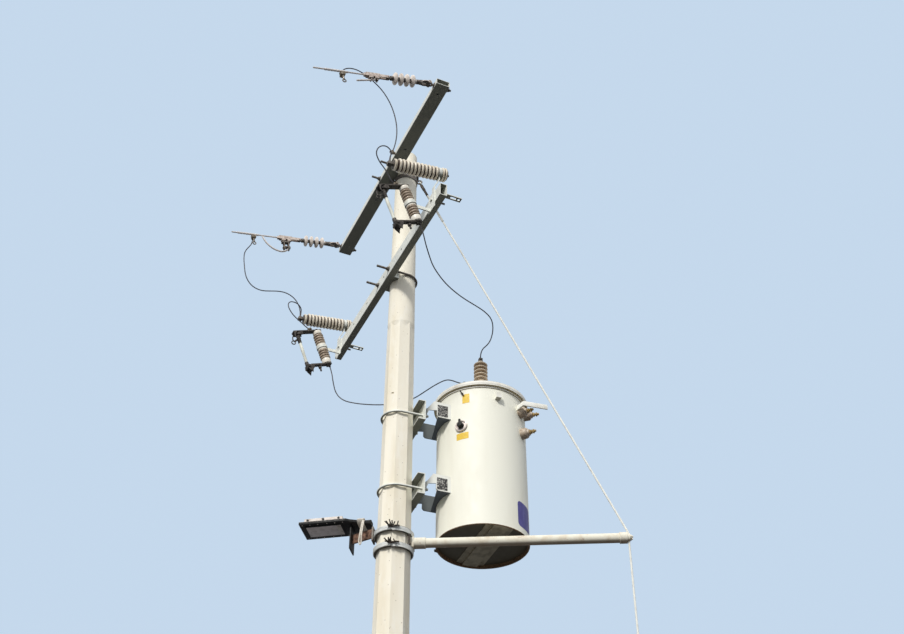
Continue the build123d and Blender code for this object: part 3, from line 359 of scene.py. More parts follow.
# Dirt and painted shade for the recesses between ribs and sheds
GROOVE_DIRT_AND_SHADE = Finish("groove_dirt_and_painted_shade", "porcelain", (84, 68, 58), (
    clouds((52, 42, 36), 60.0, 0.4, 0.7, 0.8),), (0.6, 0.8), grain=600.0)
CUTOUT_GLAZE = Finish("cutout_shed_glaze", "porcelain", (190, 172, 152), (
    clouds((150, 132, 114), 34.0, 0.4, 0.68, 0.8), rust(60.0, 0.64, 0.4, shade=(100, 78, 62))), (0.32, 0.5), coat=0.2,
    grain=420.0)
CUTOUT_CREAM = Finish("cutout_cream_glaze", "porcelain", (248, 242, 229), (
    clouds((226, 214, 194), 30.0, 0.45, 0.72, 0.6), rust(44.0, 0.67, 0.45, shade=(172, 146, 118))), (0.32, 0.48),
    coat=0.2, grain=420.0)
# The underside layer is painted shade on the faces that look down
BUSHING_GLAZE = Finish("bushing_glaze", "porcelain", (222, 205, 180), (
    clouds((188, 168, 142), 30.0, 0.42, 0.7, 0.8), underside((140, 116, 92), -0.3, -0.9, 0.6)), (0.3, 0.45),
    coat=0.25, grain=420.0)
# The underside layer is painted shade on the faces that look down
LOW_BUSHING = Finish("secondary_bushing_glaze", "polymer_dark", (200, 184, 164), (
    clouds((146, 126, 108), 50.0, 0.42, 0.7, 0.8), underside((112, 94, 80), -0.2, -0.9, 0.6)), (0.35, 0.5), coat=0.2,
    grain=500.0)
FUSE_FIBRE = Finish("fuse_fibre", "fuse_fibre", (240, 242, 230), (
    clouds((212, 210, 196), 60.0, 0.42, 0.7, 0.7, 14.0), rust(40.0, 0.67, 0.35)), grain=800.0)
# The underside layer is painted shade on the tank's bottom and the faces that look down
ENAMEL = Finish("tank_enamel", "tank_paint", (248, 247, 233), (
    clouds((238, 235, 219), 7.0, 0.46, 0.74, 0.6, 1.4), patches((206, 196, 172), 20.0, 0.68, 0.79, 0.45, 6.0),
    underside((86, 80, 66), -0.5, -0.9, 1.0)), (0.5, 0.66), grain=160.0, depth=0.00008)
# The dark slate layer behind the near plates and the underside layer are painted shade
HANGER_ENAMEL = Finish("hanger_enamel", "tank_paint", (241, 242, 234), (
    clouds((222, 220, 208), 14.0, 0.46, 0.74, 0.6, 6.0),
    Layer(Pattern.INSIDE, (72, 80, 86), 1.0, 1.0, -0.153, -0.147, 0.95), underside((82, 90, 100), -0.3, -0.8, 0.9),
    rust(30.0, 0.68, 0.5)), (0.5, 0.66), grain=160.0, depth=0.00008)
# The underside layer is a lighter painted shade on the faces that look down
LUG_ENAMEL = Finish("lug_enamel", "tank_paint", (247, 246, 238), (
    clouds((226, 222, 208), 20.0, 0.46, 0.74, 0.6), underside((188, 182, 166), -0.4, -0.9, 0.9)), (0.5, 0.66),
    grain=160.0, depth=0.00008)
# The underside layer is painted shade under the lid's rim
LID_ENAMEL = Finish("lid_enamel", "tank_paint", (242, 240, 231), (
    clouds((220, 212, 196), 16.0, 0.46, 0.72, 0.6), underside((168, 156, 126), -0.75, -0.95, 1.0)), (0.5, 0.66),
    grain=160.0, depth=0.00008)
TANK_FLOOR = Finish("tank_floor_paint", "tank_dark", (166, 157, 137), (
    clouds((126, 118, 100), 20.0, 0.4, 0.7, 0.8), rust(16.0, 0.58, 0.5, shade=(104, 82, 62))), grain=300.0)
RUSTY_EDGE = Finish("rusty_edge", "tank_dark", (142, 112, 84), (
    patches((96, 74, 54), 60.0, 0.4, 0.6, 0.85), patches((178, 152, 122), 34.0, 0.58, 0.68, 0.5)), (0.7, 0.9),
    grain=700.0, depth=0.0005)
# The underside layer is a brownish painted shade on the faces that look down
PIPE_PAINT = Finish("stained_pipe_paint", "pipe_paint", (240, 236, 219), (
    clouds((218, 205, 182), 16.0, 0.42, 0.68, 0.7), underside((128, 102, 78), -0.5, -0.97, 0.8),
    rust(14.0, 0.6, 0.65, 20.0, (164, 114, 84)), patches((242, 238, 222), 20.0, 0.6, 0.7, 0.6)), (0.6, 0.85),
    grain=320.0, depth=0.0006)
LAMP_BLACK = Finish("lamp_black", "lamp_black", (19, 19, 18), (
    clouds((38, 35, 32), 40.0, 0.45, 0.72, 0.7), rust(70.0, 0.66, 0.5, shade=(96, 66, 48))))
LAMP_GREY = Finish("lamp_housing_grey", "lamp_black", (222, 214, 206), (
    clouds((172, 160, 150), 30.0, 0.45, 0.7, 0.8, 90.0), rust(60.0, 0.63, 0.6)))
LAMP_GLASS = Finish("lamp_lens", "lamp_lens", (224, 214, 214), (
    clouds((200, 190, 188), 26.0, 0.4, 0.7, 0.8), Layer(Pattern.PITS, (240, 234, 226), 70.0, 70.0, 0.16, 0.06, 0.5)),
    (0.25, 0.4), coat=0.3, grain=300.0)
# The underside layer is painted shade on the faces that look down
RUSTY_BAR = Finish("rusty_bracket_bar", "lamp_black", (130, 98, 80), (
    patches((82, 58, 46), 50.0, 0.44, 0.58, 0.85), underside((48, 34, 28), -0.2, -0.9, 0.7)), (0.7, 0.9), grain=700.0,
    depth=0.0005)
PALE_TIE = Finish("pale_tie", "lamp_black", (240, 234, 222), (
    clouds((200, 192, 176), 90.0, 0.42, 0.7, 0.6),))
COPPER_WIRE = Finish("dark_jumper_wire", "copper_wire", (82, 80, 84), (
    clouds((52, 50, 54), 30.0, 0.4, 0.7, 0.8), clouds((128, 120, 114), 90.0, 0.56, 0.76, 0.5)), (0.4, 0.6), 0.25,
    grain=1500.0)
YELLOW_PATCH = Finish("yellow_patch", "tank_paint", (238, 202, 66), (
    clouds((226, 182, 54), 60.0, 0.4, 0.7, 0.7), patches((240, 230, 180), 80.0, 0.62, 0.7, 0.6)), (0.4, 0.6),
    depth=0.0001)
VIOLET_PATCH = Finish("violet_patch", "tank_paint", (76, 70, 146), (
    clouds((94, 88, 162), 30.0, 0.4, 0.7, 0.8, 12.0), patches((150, 148, 190), 60.0, 0.66, 0.74, 0.5)), (0.35, 0.5),
    depth=0.0001)
DARK_PATCH = Finish("dark_patch", "tank_paint", (56, 56, 58), (
    patches((214, 212, 204), 90.0, 0.5, 0.54, 0.8), clouds((52, 50, 50), 60.0, 0.45, 0.6, 0.7)), depth=0.0001)
DIAL_METAL = Finish("dial_metal", "polymer_dark", (214, 204, 198), (
    clouds((164, 152, 146), 60.0, 0.42, 0.7, 0.7),), (0.35, 0.55), 0.3, grain=800.0)


# Workbench
def stand(origin: Sequence[float], up: Sequence[float], side: Sequence[float] = (0, 1, 0)) -> Matrix:
    """Gives the place of a piece that was modelled upright at the origin.

    Args:
        origin: where its own origin goes.
        up: direction of its Z axis.
        side: direction that its X axis comes nearest to.

    Returns:
        The matrix that puts it there.
    """
    axis = Vector(up).normalized()
    across = (Vector(side) - axis * Vector(side).dot(axis)).normalized()
    place = Matrix((across, axis.cross(across), axis)).transposed().to_4x4()
    place.translation = Vector(origin)
    return place


def at(x: float, y: float, z: float) -> Matrix:
    """Gives the place that far along X, Y and Z."""
    return Matrix.Translation((x, y, z))


def circle(radius: float, count: int, first: float = 0.0) -> list[tuple[float, float]]:
    """Gives evenly spaced points round a circle, the first one at an angle."""
    turns = [first + math.tau * step / count for step in range(count)]
    return [(radius * math.cos(turn), radius * math.sin(turn)) for turn in turns]


def rain_sheds(start: float, pitch: float, count: int, core: float, rim: float, thick: float,
               slope: float) -> list[tuple[float, float]]:
    """Gives the profile of a row of round-edged sheds or ribs.

    Args:
        start: height of the first shed.
        pitch: distance from shed to shed.
        count: number of sheds.
        core: radius of the body between them.
        rim: radius of a shed.
        thick: thickness at the rim.
        slope: height that the upper side falls from core to rim.

    Returns:
        The radius and height of each point, bottom to top.
    """
    points = []
    soft = thick / 3
    for number in range(count):
        level = start + number * pitch
        low, high = level - thick / 2, level + thick / 2
        points += [(core, low - soft), (core + soft, low), (rim - soft, low), (rim - soft / 3, low + soft / 3),
                   (rim, low + soft), (rim, high - soft), (rim - soft / 3, high - soft / 3),
                   (rim - 1.3 * soft, high + soft / 4), (core + soft, high + slope), (core, high + slope + soft)]
    return points


def smooth_line(corners: Line, steps: int) -> list[Vector]:
    """Draws a smooth line through every corner.

    Args:
        corners: the points that it passes through.
        steps: steps between two of them.

    Returns:
        Points along the smooth line.
    """
    spots = [Vector(corner) for corner in corners]
    spots = [2 * spots[0] - spots[1], *spots, 2 * spots[-1] - spots[-2]]
    line = []
    for before, start, end, after in zip(spots, spots[1:], spots[2:], spots[3:]):
        for t in (step / steps for step in range(steps)):
            line.append(0.5 * (2 * start + (end - before) * t + (2 * before - 5 * start + 4 * end - after) * t**2
                               + (3 * start - before - 3 * end + after) * t**3))
    return [*line, spots[-2]]


class Bench:
    """The workbench: starts blanks, shapes them in edit mode and sets the finished pieces down."""

    def __init__(self) -> None:
        """Starts with an empty pattern shop and no finishes mixed."""
        self.shop = PatternShop()
        self.mixed: dict[str, bpy.types.Material] = {}

    def finish(self, finish: Finish) -> bpy.types.Material:
        """Mixes a finish's material the first time it is asked for.

        Args:
            finish: the finish.

        Returns:
            Its material.
        """
        if finish.name not in self.mixed:
            self.mixed[finish.name] = finish.material(self.shop)
        return self.mixed[finish.name]

    @staticmethod
    def pick(*pieces: Piece) -> None:
        """Selects pieces alone and makes the first one active.

        Args:
            *pieces: the pieces, or none to deselect all.
        """
        bpy.ops.object.select_all(action="DESELECT")
        for piece in pieces:
            piece.select_set(True)
        if pieces:
            bpy.context.view_layer.objects.active = pieces[0]

    def lay(self, piece: Piece, place: Matrix) -> Piece:
        """Puts a piece in its place and applies the place to its mesh.

        Args:
            piece: the piece, modelled at the origin.
            place: where it goes.

        Returns:
            The same piece, its object at the origin.
        """
        piece.matrix_world = place @ piece.matrix_world
        self.pick(piece)
        bpy.ops.object.transform_apply(location=True, rotation=True, scale=True)
        return piece

    def chain(self, points: Line) -> Piece:
        """Starts a blank from one corner and draws it out point by point.

        Args:
            points: the points of the chain.

        Returns:
            The blank, still in edit mode, its last point selected.
        """
        self.pick()
        bpy.ops.mesh.primitive_plane_add(size=0.01, location=(0, 0, 0))
        blank = bpy.context.object
        bpy.ops.object.mode_set(mode="EDIT")
        mesh = bmesh.from_edit_mesh(blank.data)
        bmesh.ops.delete(mesh, geom=list(mesh.verts)[1:], context="VERTS")
        mesh.verts.ensure_lookup_table()
        mesh.verts[0].co = Vector(points[0])
        mesh.verts[0].select_set(True)
        bmesh.update_edit_mesh(blank.data)
        for last, point in zip(points, points[1:]):
            move = Vector(point) - Vector(last)
            bpy.ops.mesh.extrude_vertices_move(TRANSFORM_OT_translate={"value": tuple(move)})
        bpy.ops.mesh.select_all(action="SELECT")
        return blank

    def lathe(self, profile: Profile, place: Matrix, steps: int = 40) -> Piece:
        """Turns a profile about Z, as on a lathe, and lays the piece down.

        Args:
            profile: radius and height of each point; a closed ring repeats its first point.
            place: where the piece goes.
            steps: steps round the piece.

        Returns:
            The turned piece.
        """
        blank = self.chain([(radius, 0, height) for radius, height in profile])
        bpy.ops.mesh.spin(steps=steps, angle=math.tau, center=(0, 0, 0), axis=(0, 0, 1))
        bpy.ops.mesh.select_all(action="SELECT")
        bpy.ops.mesh.remove_doubles(threshold=1e-6)
        bpy.ops.mesh.normals_make_consistent(inside=False)
        bpy.ops.object.mode_set(mode="OBJECT")
        return self.lay(blank, place)

    def rod(self, radius: float, low: float, high: float, place: Matrix, steps: int = 20) -> Piece:
        """Turns a plain round rod or washer from one height of its place to another."""
        return self.lathe([(0, low), (radius, low), (radius, high), (0, high)], place, steps)

    def prism(self, outline: Profile, height: float, place: Matrix, edge: float = 0.0) -> Piece:
        """Extrudes an outline, bevels its edges and lays the piece down.

        Args:
            outline: the corners, each as x and y.
            height: how far it is extruded along Z.
            place: where the piece goes.
            edge: width of the bevel on its edges.

        Returns:
            The piece.
        """
        blank = self.chain([(x, y, 0) for x, y in outline])
        bpy.ops.mesh.edge_face_add()
        bpy.ops.mesh.extrude_region_move(TRANSFORM_OT_translate={"value": (0, 0, height)})
        bpy.ops.mesh.select_all(action="SELECT")
        bpy.ops.mesh.normals_make_consistent(inside=False)
        if edge:
            bpy.ops.mesh.bevel(offset=edge, segments=2, affect="EDGES")
        bpy.ops.object.mode_set(mode="OBJECT")
        return self.lay(blank, place)

    def slab(self, size: Place, place: Matrix, edge: float = 0.001) -> Piece:
        """Makes a plate or block centred on its place.

        Args:
            size: its width, depth and height.
            place: where its centre goes.
            edge: width of the bevel on its edges.

        Returns:
            The piece.
        """
        wide, deep, high = (value / 2 for value in size)
        corners = [(-wide, -deep), (wide, -deep), (wide, deep), (-wide, deep)]
        return self.prism(corners, 2 * high, place @ at(0, 0, -high), edge)

    def beam(self, start: Sequence[float], end: Sequence[float], size: tuple[float, float],
             side: Sequence[float] = (0, 0, 1), edge: float = 0.001) -> Piece:
        """Lays a straight bar between two points, its size being the width towards the side and the thickness."""
        way = Vector(end) - Vector(start)
        return self.slab((size[0], size[1], way.length), stand((Vector(start) + Vector(end)) / 2, way, side), edge)

    def nut(self, across: float, height: float, place: Matrix) -> Piece:
        """Makes a hexagon nut or head with a chamfered face.

        Args:
            across: width across its flats.
            height: its height.
            place: where its near face goes.

        Returns:
            The nut.
        """
        self.pick()
        bpy.ops.mesh.primitive_cylinder_add(vertices=6, radius=across / math.sqrt(3), depth=height,
                                            location=(0, 0, height / 2))
        piece = bpy.context.object
        bpy.ops.object.mode_set(mode="EDIT")
        bpy.ops.mesh.bevel(offset=across * 0.05, segments=2, affect="EDGES")
        bpy.ops.mesh.select_all(action="DESELECT")
        bpy.ops.object.mode_set(mode="OBJECT")
        return self.lay(piece, place)

    def tube(self, paths: Sequence[Sequence[Vector]], radius: float, sides: int = 6,
             closed: bool = False) -> Piece:
        """Draws round wire along one or more paths.

        Args:
            paths: the points of each wire.
            radius: radius of the wire.
            sides: sides of its section, an even number.
            closed: whether each wire closes on itself.

        Returns:
            The wires as one mesh piece.
        """
        curve = bpy.data.curves.new("wire", "CURVE")
        curve.dimensions = "3D"
        curve.bevel_depth = radius
        curve.bevel_resolution = sides // 2 - 2
        curve.use_fill_caps = True
        for path in paths:
            spline = curve.splines.new("POLY")
            spline.points.add(len(path) - 1)
            for point, position in zip(spline.points, path):
                point.co = (*position, 1.0)
            spline.use_cyclic_u = closed
        piece = bpy.data.objects.new("wire", curve)
        bpy.context.collection.objects.link(piece)
        self.pick(piece)
        bpy.ops.object.convert(target="MESH")
        return bpy.context.object

    def strands(self, path: Sequence[Vector], offset: float, radius: float, count: int, pitch: float,
                closed: bool = False) -> Piece:
        """Lays a rope's outer wires round a path.

        Args:
            path: points of the rope's middle, close together.
            offset: distance from the middle to each wire's middle.
            radius: radius of a wire.
            count: number of wires.
            pitch: length of one full turn.
            closed: whether the path closes on itself.

        Returns:
            The wires as one mesh piece.
        """
        wires: list[list[Vector]] = [[] for _ in range(count)]
        run = 0.0
        side = (path[1] - path[0]).orthogonal().normalized()
        for number, point in enumerate(path):
            ahead = path[min(number + 1, len(path) - 1)] - path[max(number - 1, 0)]
            ahead.normalize()
            side = (side - ahead * side.dot(ahead)).normalized()
            across = ahead.cross(side)
            if number:
                run += (point - path[number - 1]).length
            for wire in range(count):
                turn = math.tau * (run / pitch + wire / count)
                wires[wire].append(point + offset * (math.cos(turn) * side + math.sin(turn) * across))
        return self.tube(wires, radius, 6, closed)

    def copies(self, piece: Piece, places: Sequence[Matrix]) -> Piece:
        """Copies a piece to each place, each copy with its own mesh, and joins them.

        Args:
            piece: the piece, modelled at the origin.
            places: where its copies go; the piece itself takes the first.

        Returns:
            All of them as one piece.
        """
        others: list[Piece] = []
        for place in places[1:]:
            self.pick(piece)
            bpy.ops.object.duplicate(linked=False)
            others.append(self.lay(bpy.context.object, place))
        return self.join(self.lay(piece, places[0]), *others)

    def join(self, *pieces: Piece) -> Piece:
        """Joins pieces into one.

        Args:
            *pieces: the pieces, the one that takes in the others first.

        Returns:
            The first piece.
        """
        self.pick(*pieces)
        if len(pieces) > 1:
            bpy.ops.object.join()
        return pieces[0]

    def dress(self, piece: Piece, *finishes: Finish) -> Piece:
        """Gives a piece its finishes, the first one all over.

        Args:
            piece: the piece.
            *finishes: its finishes in order.

        Returns:
            The piece.
        """
        piece.data.materials.clear()
        for finish in finishes:
            piece.data.materials.append(self.finish(finish))
        return piece

    @staticmethod
    def paint(piece: Piece, number: int, where: Callable[[Vector], bool]) -> None:
        """Gives another of the piece's finishes to the faces whose middles pass a test.

        Args:
            piece: a piece already dressed.
            number: which of its finishes.
            where: the test, given a face's middle.
        """
        for face in piece.data.polygons:
            if where(face.center):
                face.material_index = number

    def set_down(self, piece: Piece, name: str, slot: str, body: str = POLE_BODY,
                 nodes: Sequence[str] = (), smooth: float = 35.0) -> Piece:
        """Names a finished piece, smooths it and sets it on its body.

        Args:
            piece: the finished piece.
            name: its name.
            slot: the record's material slot; not used.
            body: the body it rides on.
            nodes: nodes of the frame that it stands for.
            smooth: angle in degrees below which edges are shaded smooth.

        Returns:
            The piece.
        """
        self.pick(piece)
        bpy.ops.object.shade_smooth_by_angle(angle=math.radians(smooth))
        piece.name = piece.data.name = name
        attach(piece, body)
        if nodes:
            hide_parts(*nodes)
        LOG.info("%s: %d faces on %s", name, len(piece.data.polygons), body)
        return piece

    def complete(self, parts: Sequence[Piece], finish: Finish, name: str, nodes: Sequence[str] = (),
                 smooth: float = 35.0) -> Piece:
        """Joins parts, dresses them in one finish and sets the piece down on the pole's body."""
        return self.set_down(self.dress(self.join(*parts), finish), name, finish.slot, nodes=nodes, smooth=smooth)

    def dress_nodes(self, finish: Finish, *names: str) -> None:
        """Gives nodes of the frame their finish.

        Args:
            finish: the finish.
            names: the nodes' names.
        """
        for name in names:
            node = bpy.data.objects[name]
            if not node.material_slots:
                node.data.materials.append(self.finish(finish))
            for holder in node.material_slots:
                holder.material = self.finish(finish)
            LOG.info("%s: finished in %s", name, finish.name)


# Studio and wires
@dataclass
class Studio:
    """Camera, soft light, pale backdrop and pale floor."""

    eye: Place = (-2.536, -6.464, 2.033)
    pitch: float = 0.6763
    heading: float = -0.4255
    roll: float = 0.002
    focal_pixels: float = 1254.2
    image_width: int = 904
    view_depth: float = 200.0
    sun_from: Place = (-0.572, -0.572, 0.588)
    sun_strength: float = 2.52
    sun_spread: float = math.radians(9)
    sun_colour: Place = (1.0, 0.97, 0.92)
    dome_rise: tuple[float, float] = (-0.12, 0.3)
    dome_low: Tone = (0.055, 0.053, 0.05, 1.0)
    dome_top: Tone = (0.74, 0.77, 0.82, 1.0)
    dome_shine: Tone = (0.4, 0.43, 0.47, 1.0)
    backdrop: Tone = (0.56, 0.69, 0.84, 1.0)
    floor_size: float = 120.0
    floor_drop: float = 0.002
    floor_bounce: Tone = (0.1, 0.1, 0.1, 1.0)
    floor_seen: Tone = (0.62, 0.66, 0.7, 1.0)

    def build(self) -> None:
        """Sets up the camera, the lamp, the world and the floor."""
        data = bpy.data.cameras.new("camera")
        data.sensor_fit = "HORIZONTAL"
        data.sensor_width = 36
        data.lens = self.focal_pixels / self.image_width * data.sensor_width
        data.clip_end = self.view_depth
        camera = bpy.data.objects.new("camera", data)
        camera.location = self.eye
        camera.rotation_mode = "QUATERNION"
        level = Euler((math.pi / 2 + self.pitch, 0, self.heading), "XYZ").to_quaternion()
        camera.rotation_quaternion = level @ Quaternion((0, 0, 1), self.roll)
        bpy.context.scene.collection.objects.link(camera)
        bpy.context.scene.camera = camera
        bpy.context.scene.view_settings.view_transform = "Standard"
        lamp = bpy.data.lights.new("soft_sun", "SUN")
        lamp.energy = self.sun_strength
        lamp.angle = self.sun_spread
        lamp.color = self.sun_colour
        sun = bpy.data.objects.new("soft_sun", lamp)
        sun.rotation_mode = "QUATERNION"
        sun.rotation_quaternion = Vector(self.sun_from).to_track_quat("Z", "Y")
        bpy.context.scene.collection.objects.link(sun)
        self._light_world()
        self._lay_floor()

    def _light_world(self) -> None:
        """Lights the piece softly from above and shows the camera a pale backdrop."""
        world = bpy.data.worlds.new("studio")
        bpy.context.scene.world = world
        world.use_nodes = True
        tree = world.node_tree
        height = tree.nodes.new("ShaderNodeSeparateXYZ")
        tree.links.new(tree.nodes.new("ShaderNodeTexCoord").outputs["Generated"], height.inputs[0])
        rise = tree.nodes.new("ShaderNodeMapRange")
        rise.inputs["From Min"].default_value, rise.inputs["From Max"].default_value = self.dome_rise
        tree.links.new(height.outputs["Z"], rise.inputs["Value"])
        rays = tree.nodes.new("ShaderNodeLightPath").outputs
        dome = blend(tree, rise.outputs["Result"], self.dome_low, self.dome_top)
        dome = blend(tree, rays["Is Glossy Ray"], dome, self.dome_shine)
        dome = blend(tree, rays["Is Camera Ray"], dome, self.backdrop)
        tree.links.new(dome, tree.nodes["Background"].inputs["Color"])

    def _lay_floor(self) -> None:
        """Lays the plain pale floor, which throws little light back up."""
        bpy.ops.object.select_all(action="DESELECT")
        bpy.ops.mesh.primitive_plane_add(size=self.floor_size, location=(0, 0, -self.floor_drop))
        floor = bpy.context.object
        floor.name = floor.data.name = "studio_floor"
        material = bpy.data.materials.new("studio_floor")
        material.use_nodes = True
        tree = material.node_tree
        rays = tree.nodes.new("ShaderNodeLightPath").outputs
        shader = tree.nodes["Principled BSDF"]
        shader.inputs["Roughness"].default_value = 0.9
        tree.links.new(blend(tree, rays["Is Camera Ray"], self.floor_bounce, self.floor_seen),
                       shader.inputs["Base Color"])
        floor.data.materials.append(material)


@dataclass
class JumperWire:
    """One bare jumper between two terminals, a smooth line drawn by its control points.

    Joint is how far along the wire, from zero to one, a small connector sits on it.
    """

    node: str
    length: float
    route: tuple[Place, ...]
    radius: float = 0.004
    joint: float | None = None
    joint_body: Place = (0.02, 0.017, 0.034)
    joint_nut: float = 0.017

    def build(self, bench: Bench) -> None:
        """Draws the wire and logs its real length.

        Args:
            bench: the workbench.
        """
        curve = bpy.data.curves.new(self.node, "CURVE")
        curve.dimensions = "3D"
        curve.resolution_u = 8
        spline = curve.splines.new("NURBS")
        spline.points.add(len(self.route) - 1)
        for point, position in zip(spline.points, self.route):
            point.co = (*position, 1.0)
        spline.order_u = 3
        spline.use_endpoint_u = True
        curve.materials.append(bench.finish(COPPER_WIRE))
        wire = bpy.data.objects.new(f"{self.node}_wire", curve)
        bpy.context.scene.collection.objects.link(wire)
        joints = self._joint(bench, wire)
        curve.bevel_depth = self.radius
        curve.bevel_resolution = 3
        curve.use_fill_caps = True
        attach(wire, POLE_BODY)
        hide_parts(self.node)
        LOG.info("%s: %.3f m of wire", wire.name, self.length)

    def _joint(self, bench: Bench, wire: Piece) -> list[Piece]:
        """Clamps a small connector on the wire, where it has one.

        Args:
            bench: the workbench.
            wire: the wire, still without thickness.

        Returns:
            The connector, or nothing.
        """
        if self.joint is None:
            return []
        line = bpy.data.meshes.new_from_object(wire)
        spots = [Vector(corner.co) for corner in line.vertices]
        bpy.data.meshes.remove(line)
        number = round(self.joint * (len(spots) - 1))
        place = stand(spots[number], spots[number + 1] - spots[number - 1], (1, 0, 0))
        face = self.joint_body[0] / 2
        parts = [bench.slab(self.joint_body, place, 0.004),
                 bench.nut(self.joint_nut, 0.012, place @ stand((face, 0, 0), (1, 0, 0))),
                 bench.lathe([(0, face), (0.005, face), (0.005, 0.03), (0, 0.031)],
                             place @ stand((0, 0, 0), (1, 0, 0)), 16),
                 bench.nut(self.joint_nut, 0.008, place @ stand((-face, 0, 0), (-1, 0, 0)))]
        return [bench.complete(parts, BRONZE, f"{self.node}_connector")]


# Each wire's real length and its control points, from its line end to its equipment end.
JUMPERS = (
    JumperWire("near_line_jumper", 1.113, (
        (-0.8721, -0.93, 8.783), (-0.8721, -0.93, 8.821), (-0.838, -0.924, 8.875),
        (-0.772, -0.922, 8.899), (-0.7, -0.917, 8.884), (-0.64, -0.916, 8.848),
        (-0.585, -0.918, 8.8), (-0.538, -0.919, 8.742), (-0.495, -0.914, 8.673),
        (-0.462, -0.907, 8.595), (-0.442, -0.904, 8.511), (-0.433, -0.902, 8.424),
        (-0.435, -0.89, 8.332), (-0.451, -0.884, 8.246), (-0.4764, -0.893, 8.1724),
        (-0.4764, -0.893, 8.1144)), joint=0.905),
    JumperWire("near_cutout_jumper", 0.491, (
        (-0.4764, -0.908, 8.1144), (-0.4764, -0.908, 8.1514), (-0.474, -0.923, 8.201),
        (-0.516, -0.928, 8.231), (-0.564, -0.918, 8.215), (-0.577, -0.892, 8.171),
        (-0.541, -0.87, 8.124), (-0.499, -0.86, 8.088), (-0.463, -0.852, 8.047),
        (-0.4406, -0.845, 8.003), (-0.4079, -0.845, 7.9836))),
    JumperWire("far_line_jumper", 1.074, (
        (-0.9194, 0.97, 8.7958), (-0.9194, 0.97, 8.7488), (-0.948, 0.964, 8.69),
        (-0.972, 0.958, 8.632), (-0.972, 0.954, 8.56), (-0.959, 0.951, 8.48), (-0.944, 0.95, 8.4),
        (-0.912, 0.949, 8.335), (-0.862, 0.947, 8.292), (-0.795, 0.944, 8.281),
        (-0.727, 0.942, 8.302), (-0.661, 0.94, 8.322), (-0.597, 0.939, 8.323),
        (-0.537, 0.938, 8.293), (-0.497, 0.937, 8.238), (-0.4764, 0.938, 8.1744),
        (-0.4764, 0.938, 8.1144))),
    JumperWire("far_cutout_jumper", 0.503, (
        (-0.4764, 0.922, 8.1144), (-0.4764, 0.922, 8.1524), (-0.478, 0.914, 8.188),
        (-0.514, 0.907, 8.225), (-0.579, 0.894, 8.216), (-0.6, 0.885, 8.162),
        (-0.557, 0.895, 8.101), (-0.508, 0.894, 8.06), (-0.464, 0.892, 8.029),
        (-0.4406, 0.885, 8.003), (-0.4079, 0.885, 7.9836))),
    JumperWire("near_tank_jumper", 1.381, (
        (-0.2202, -0.845, 7.6846), (-0.2016, -0.845, 7.6361), (-0.167, -0.813, 7.567),
        (-0.116, -0.753, 7.536), (-0.055, -0.678, 7.521), (0.025, -0.61, 7.512),
        (0.107, -0.547, 7.513), (0.2, -0.493, 7.515), (0.294, -0.444, 7.524),
        (0.392, -0.401, 7.536), (0.488, -0.358, 7.543), (0.567, -0.304, 7.539),
        (0.603, -0.242, 7.489), (0.59, -0.205, 7.406), (0.525, -0.1901, 7.334),
        (0.525, -0.1901, 7.263))),
    JumperWire("far_tank_jumper", 1.385, (
        (-0.2202, 0.885, 7.6846), (-0.2019, 0.885, 7.637), (-0.191, 0.876, 7.553),
        (-0.162, 0.881, 7.455), (-0.109, 0.855, 7.387), (-0.027, 0.802, 7.352),
        (0.047, 0.731, 7.318), (0.107, 0.646, 7.279), (0.161, 0.553, 7.242), (0.21, 0.463, 7.212),
        (0.272, 0.378, 7.216), (0.32, 0.311, 7.244), (0.375, 0.259, 7.284), (0.432, 0.202, 7.311),
        (0.455, 0.146, 7.279), (0.4955, 0.1187, 7.25), (0.5334, 0.1161, 7.25))),
)


@dataclass
class Assembly:
    """A part of the object, modelled at a workbench."""

    bench: Bench

    def build(self) -> None:
        """Models the part's pieces, dresses them and sets them down."""
        raise NotImplementedError


# Pole and crossarms
def round_radius(height: float) -> float:
    """Gives the radius of the pole's round part, which tapers over its upper 1.7 m, at a height."""
    return 0.094777 - 0.015277 * (height - 7.5) / 1.7


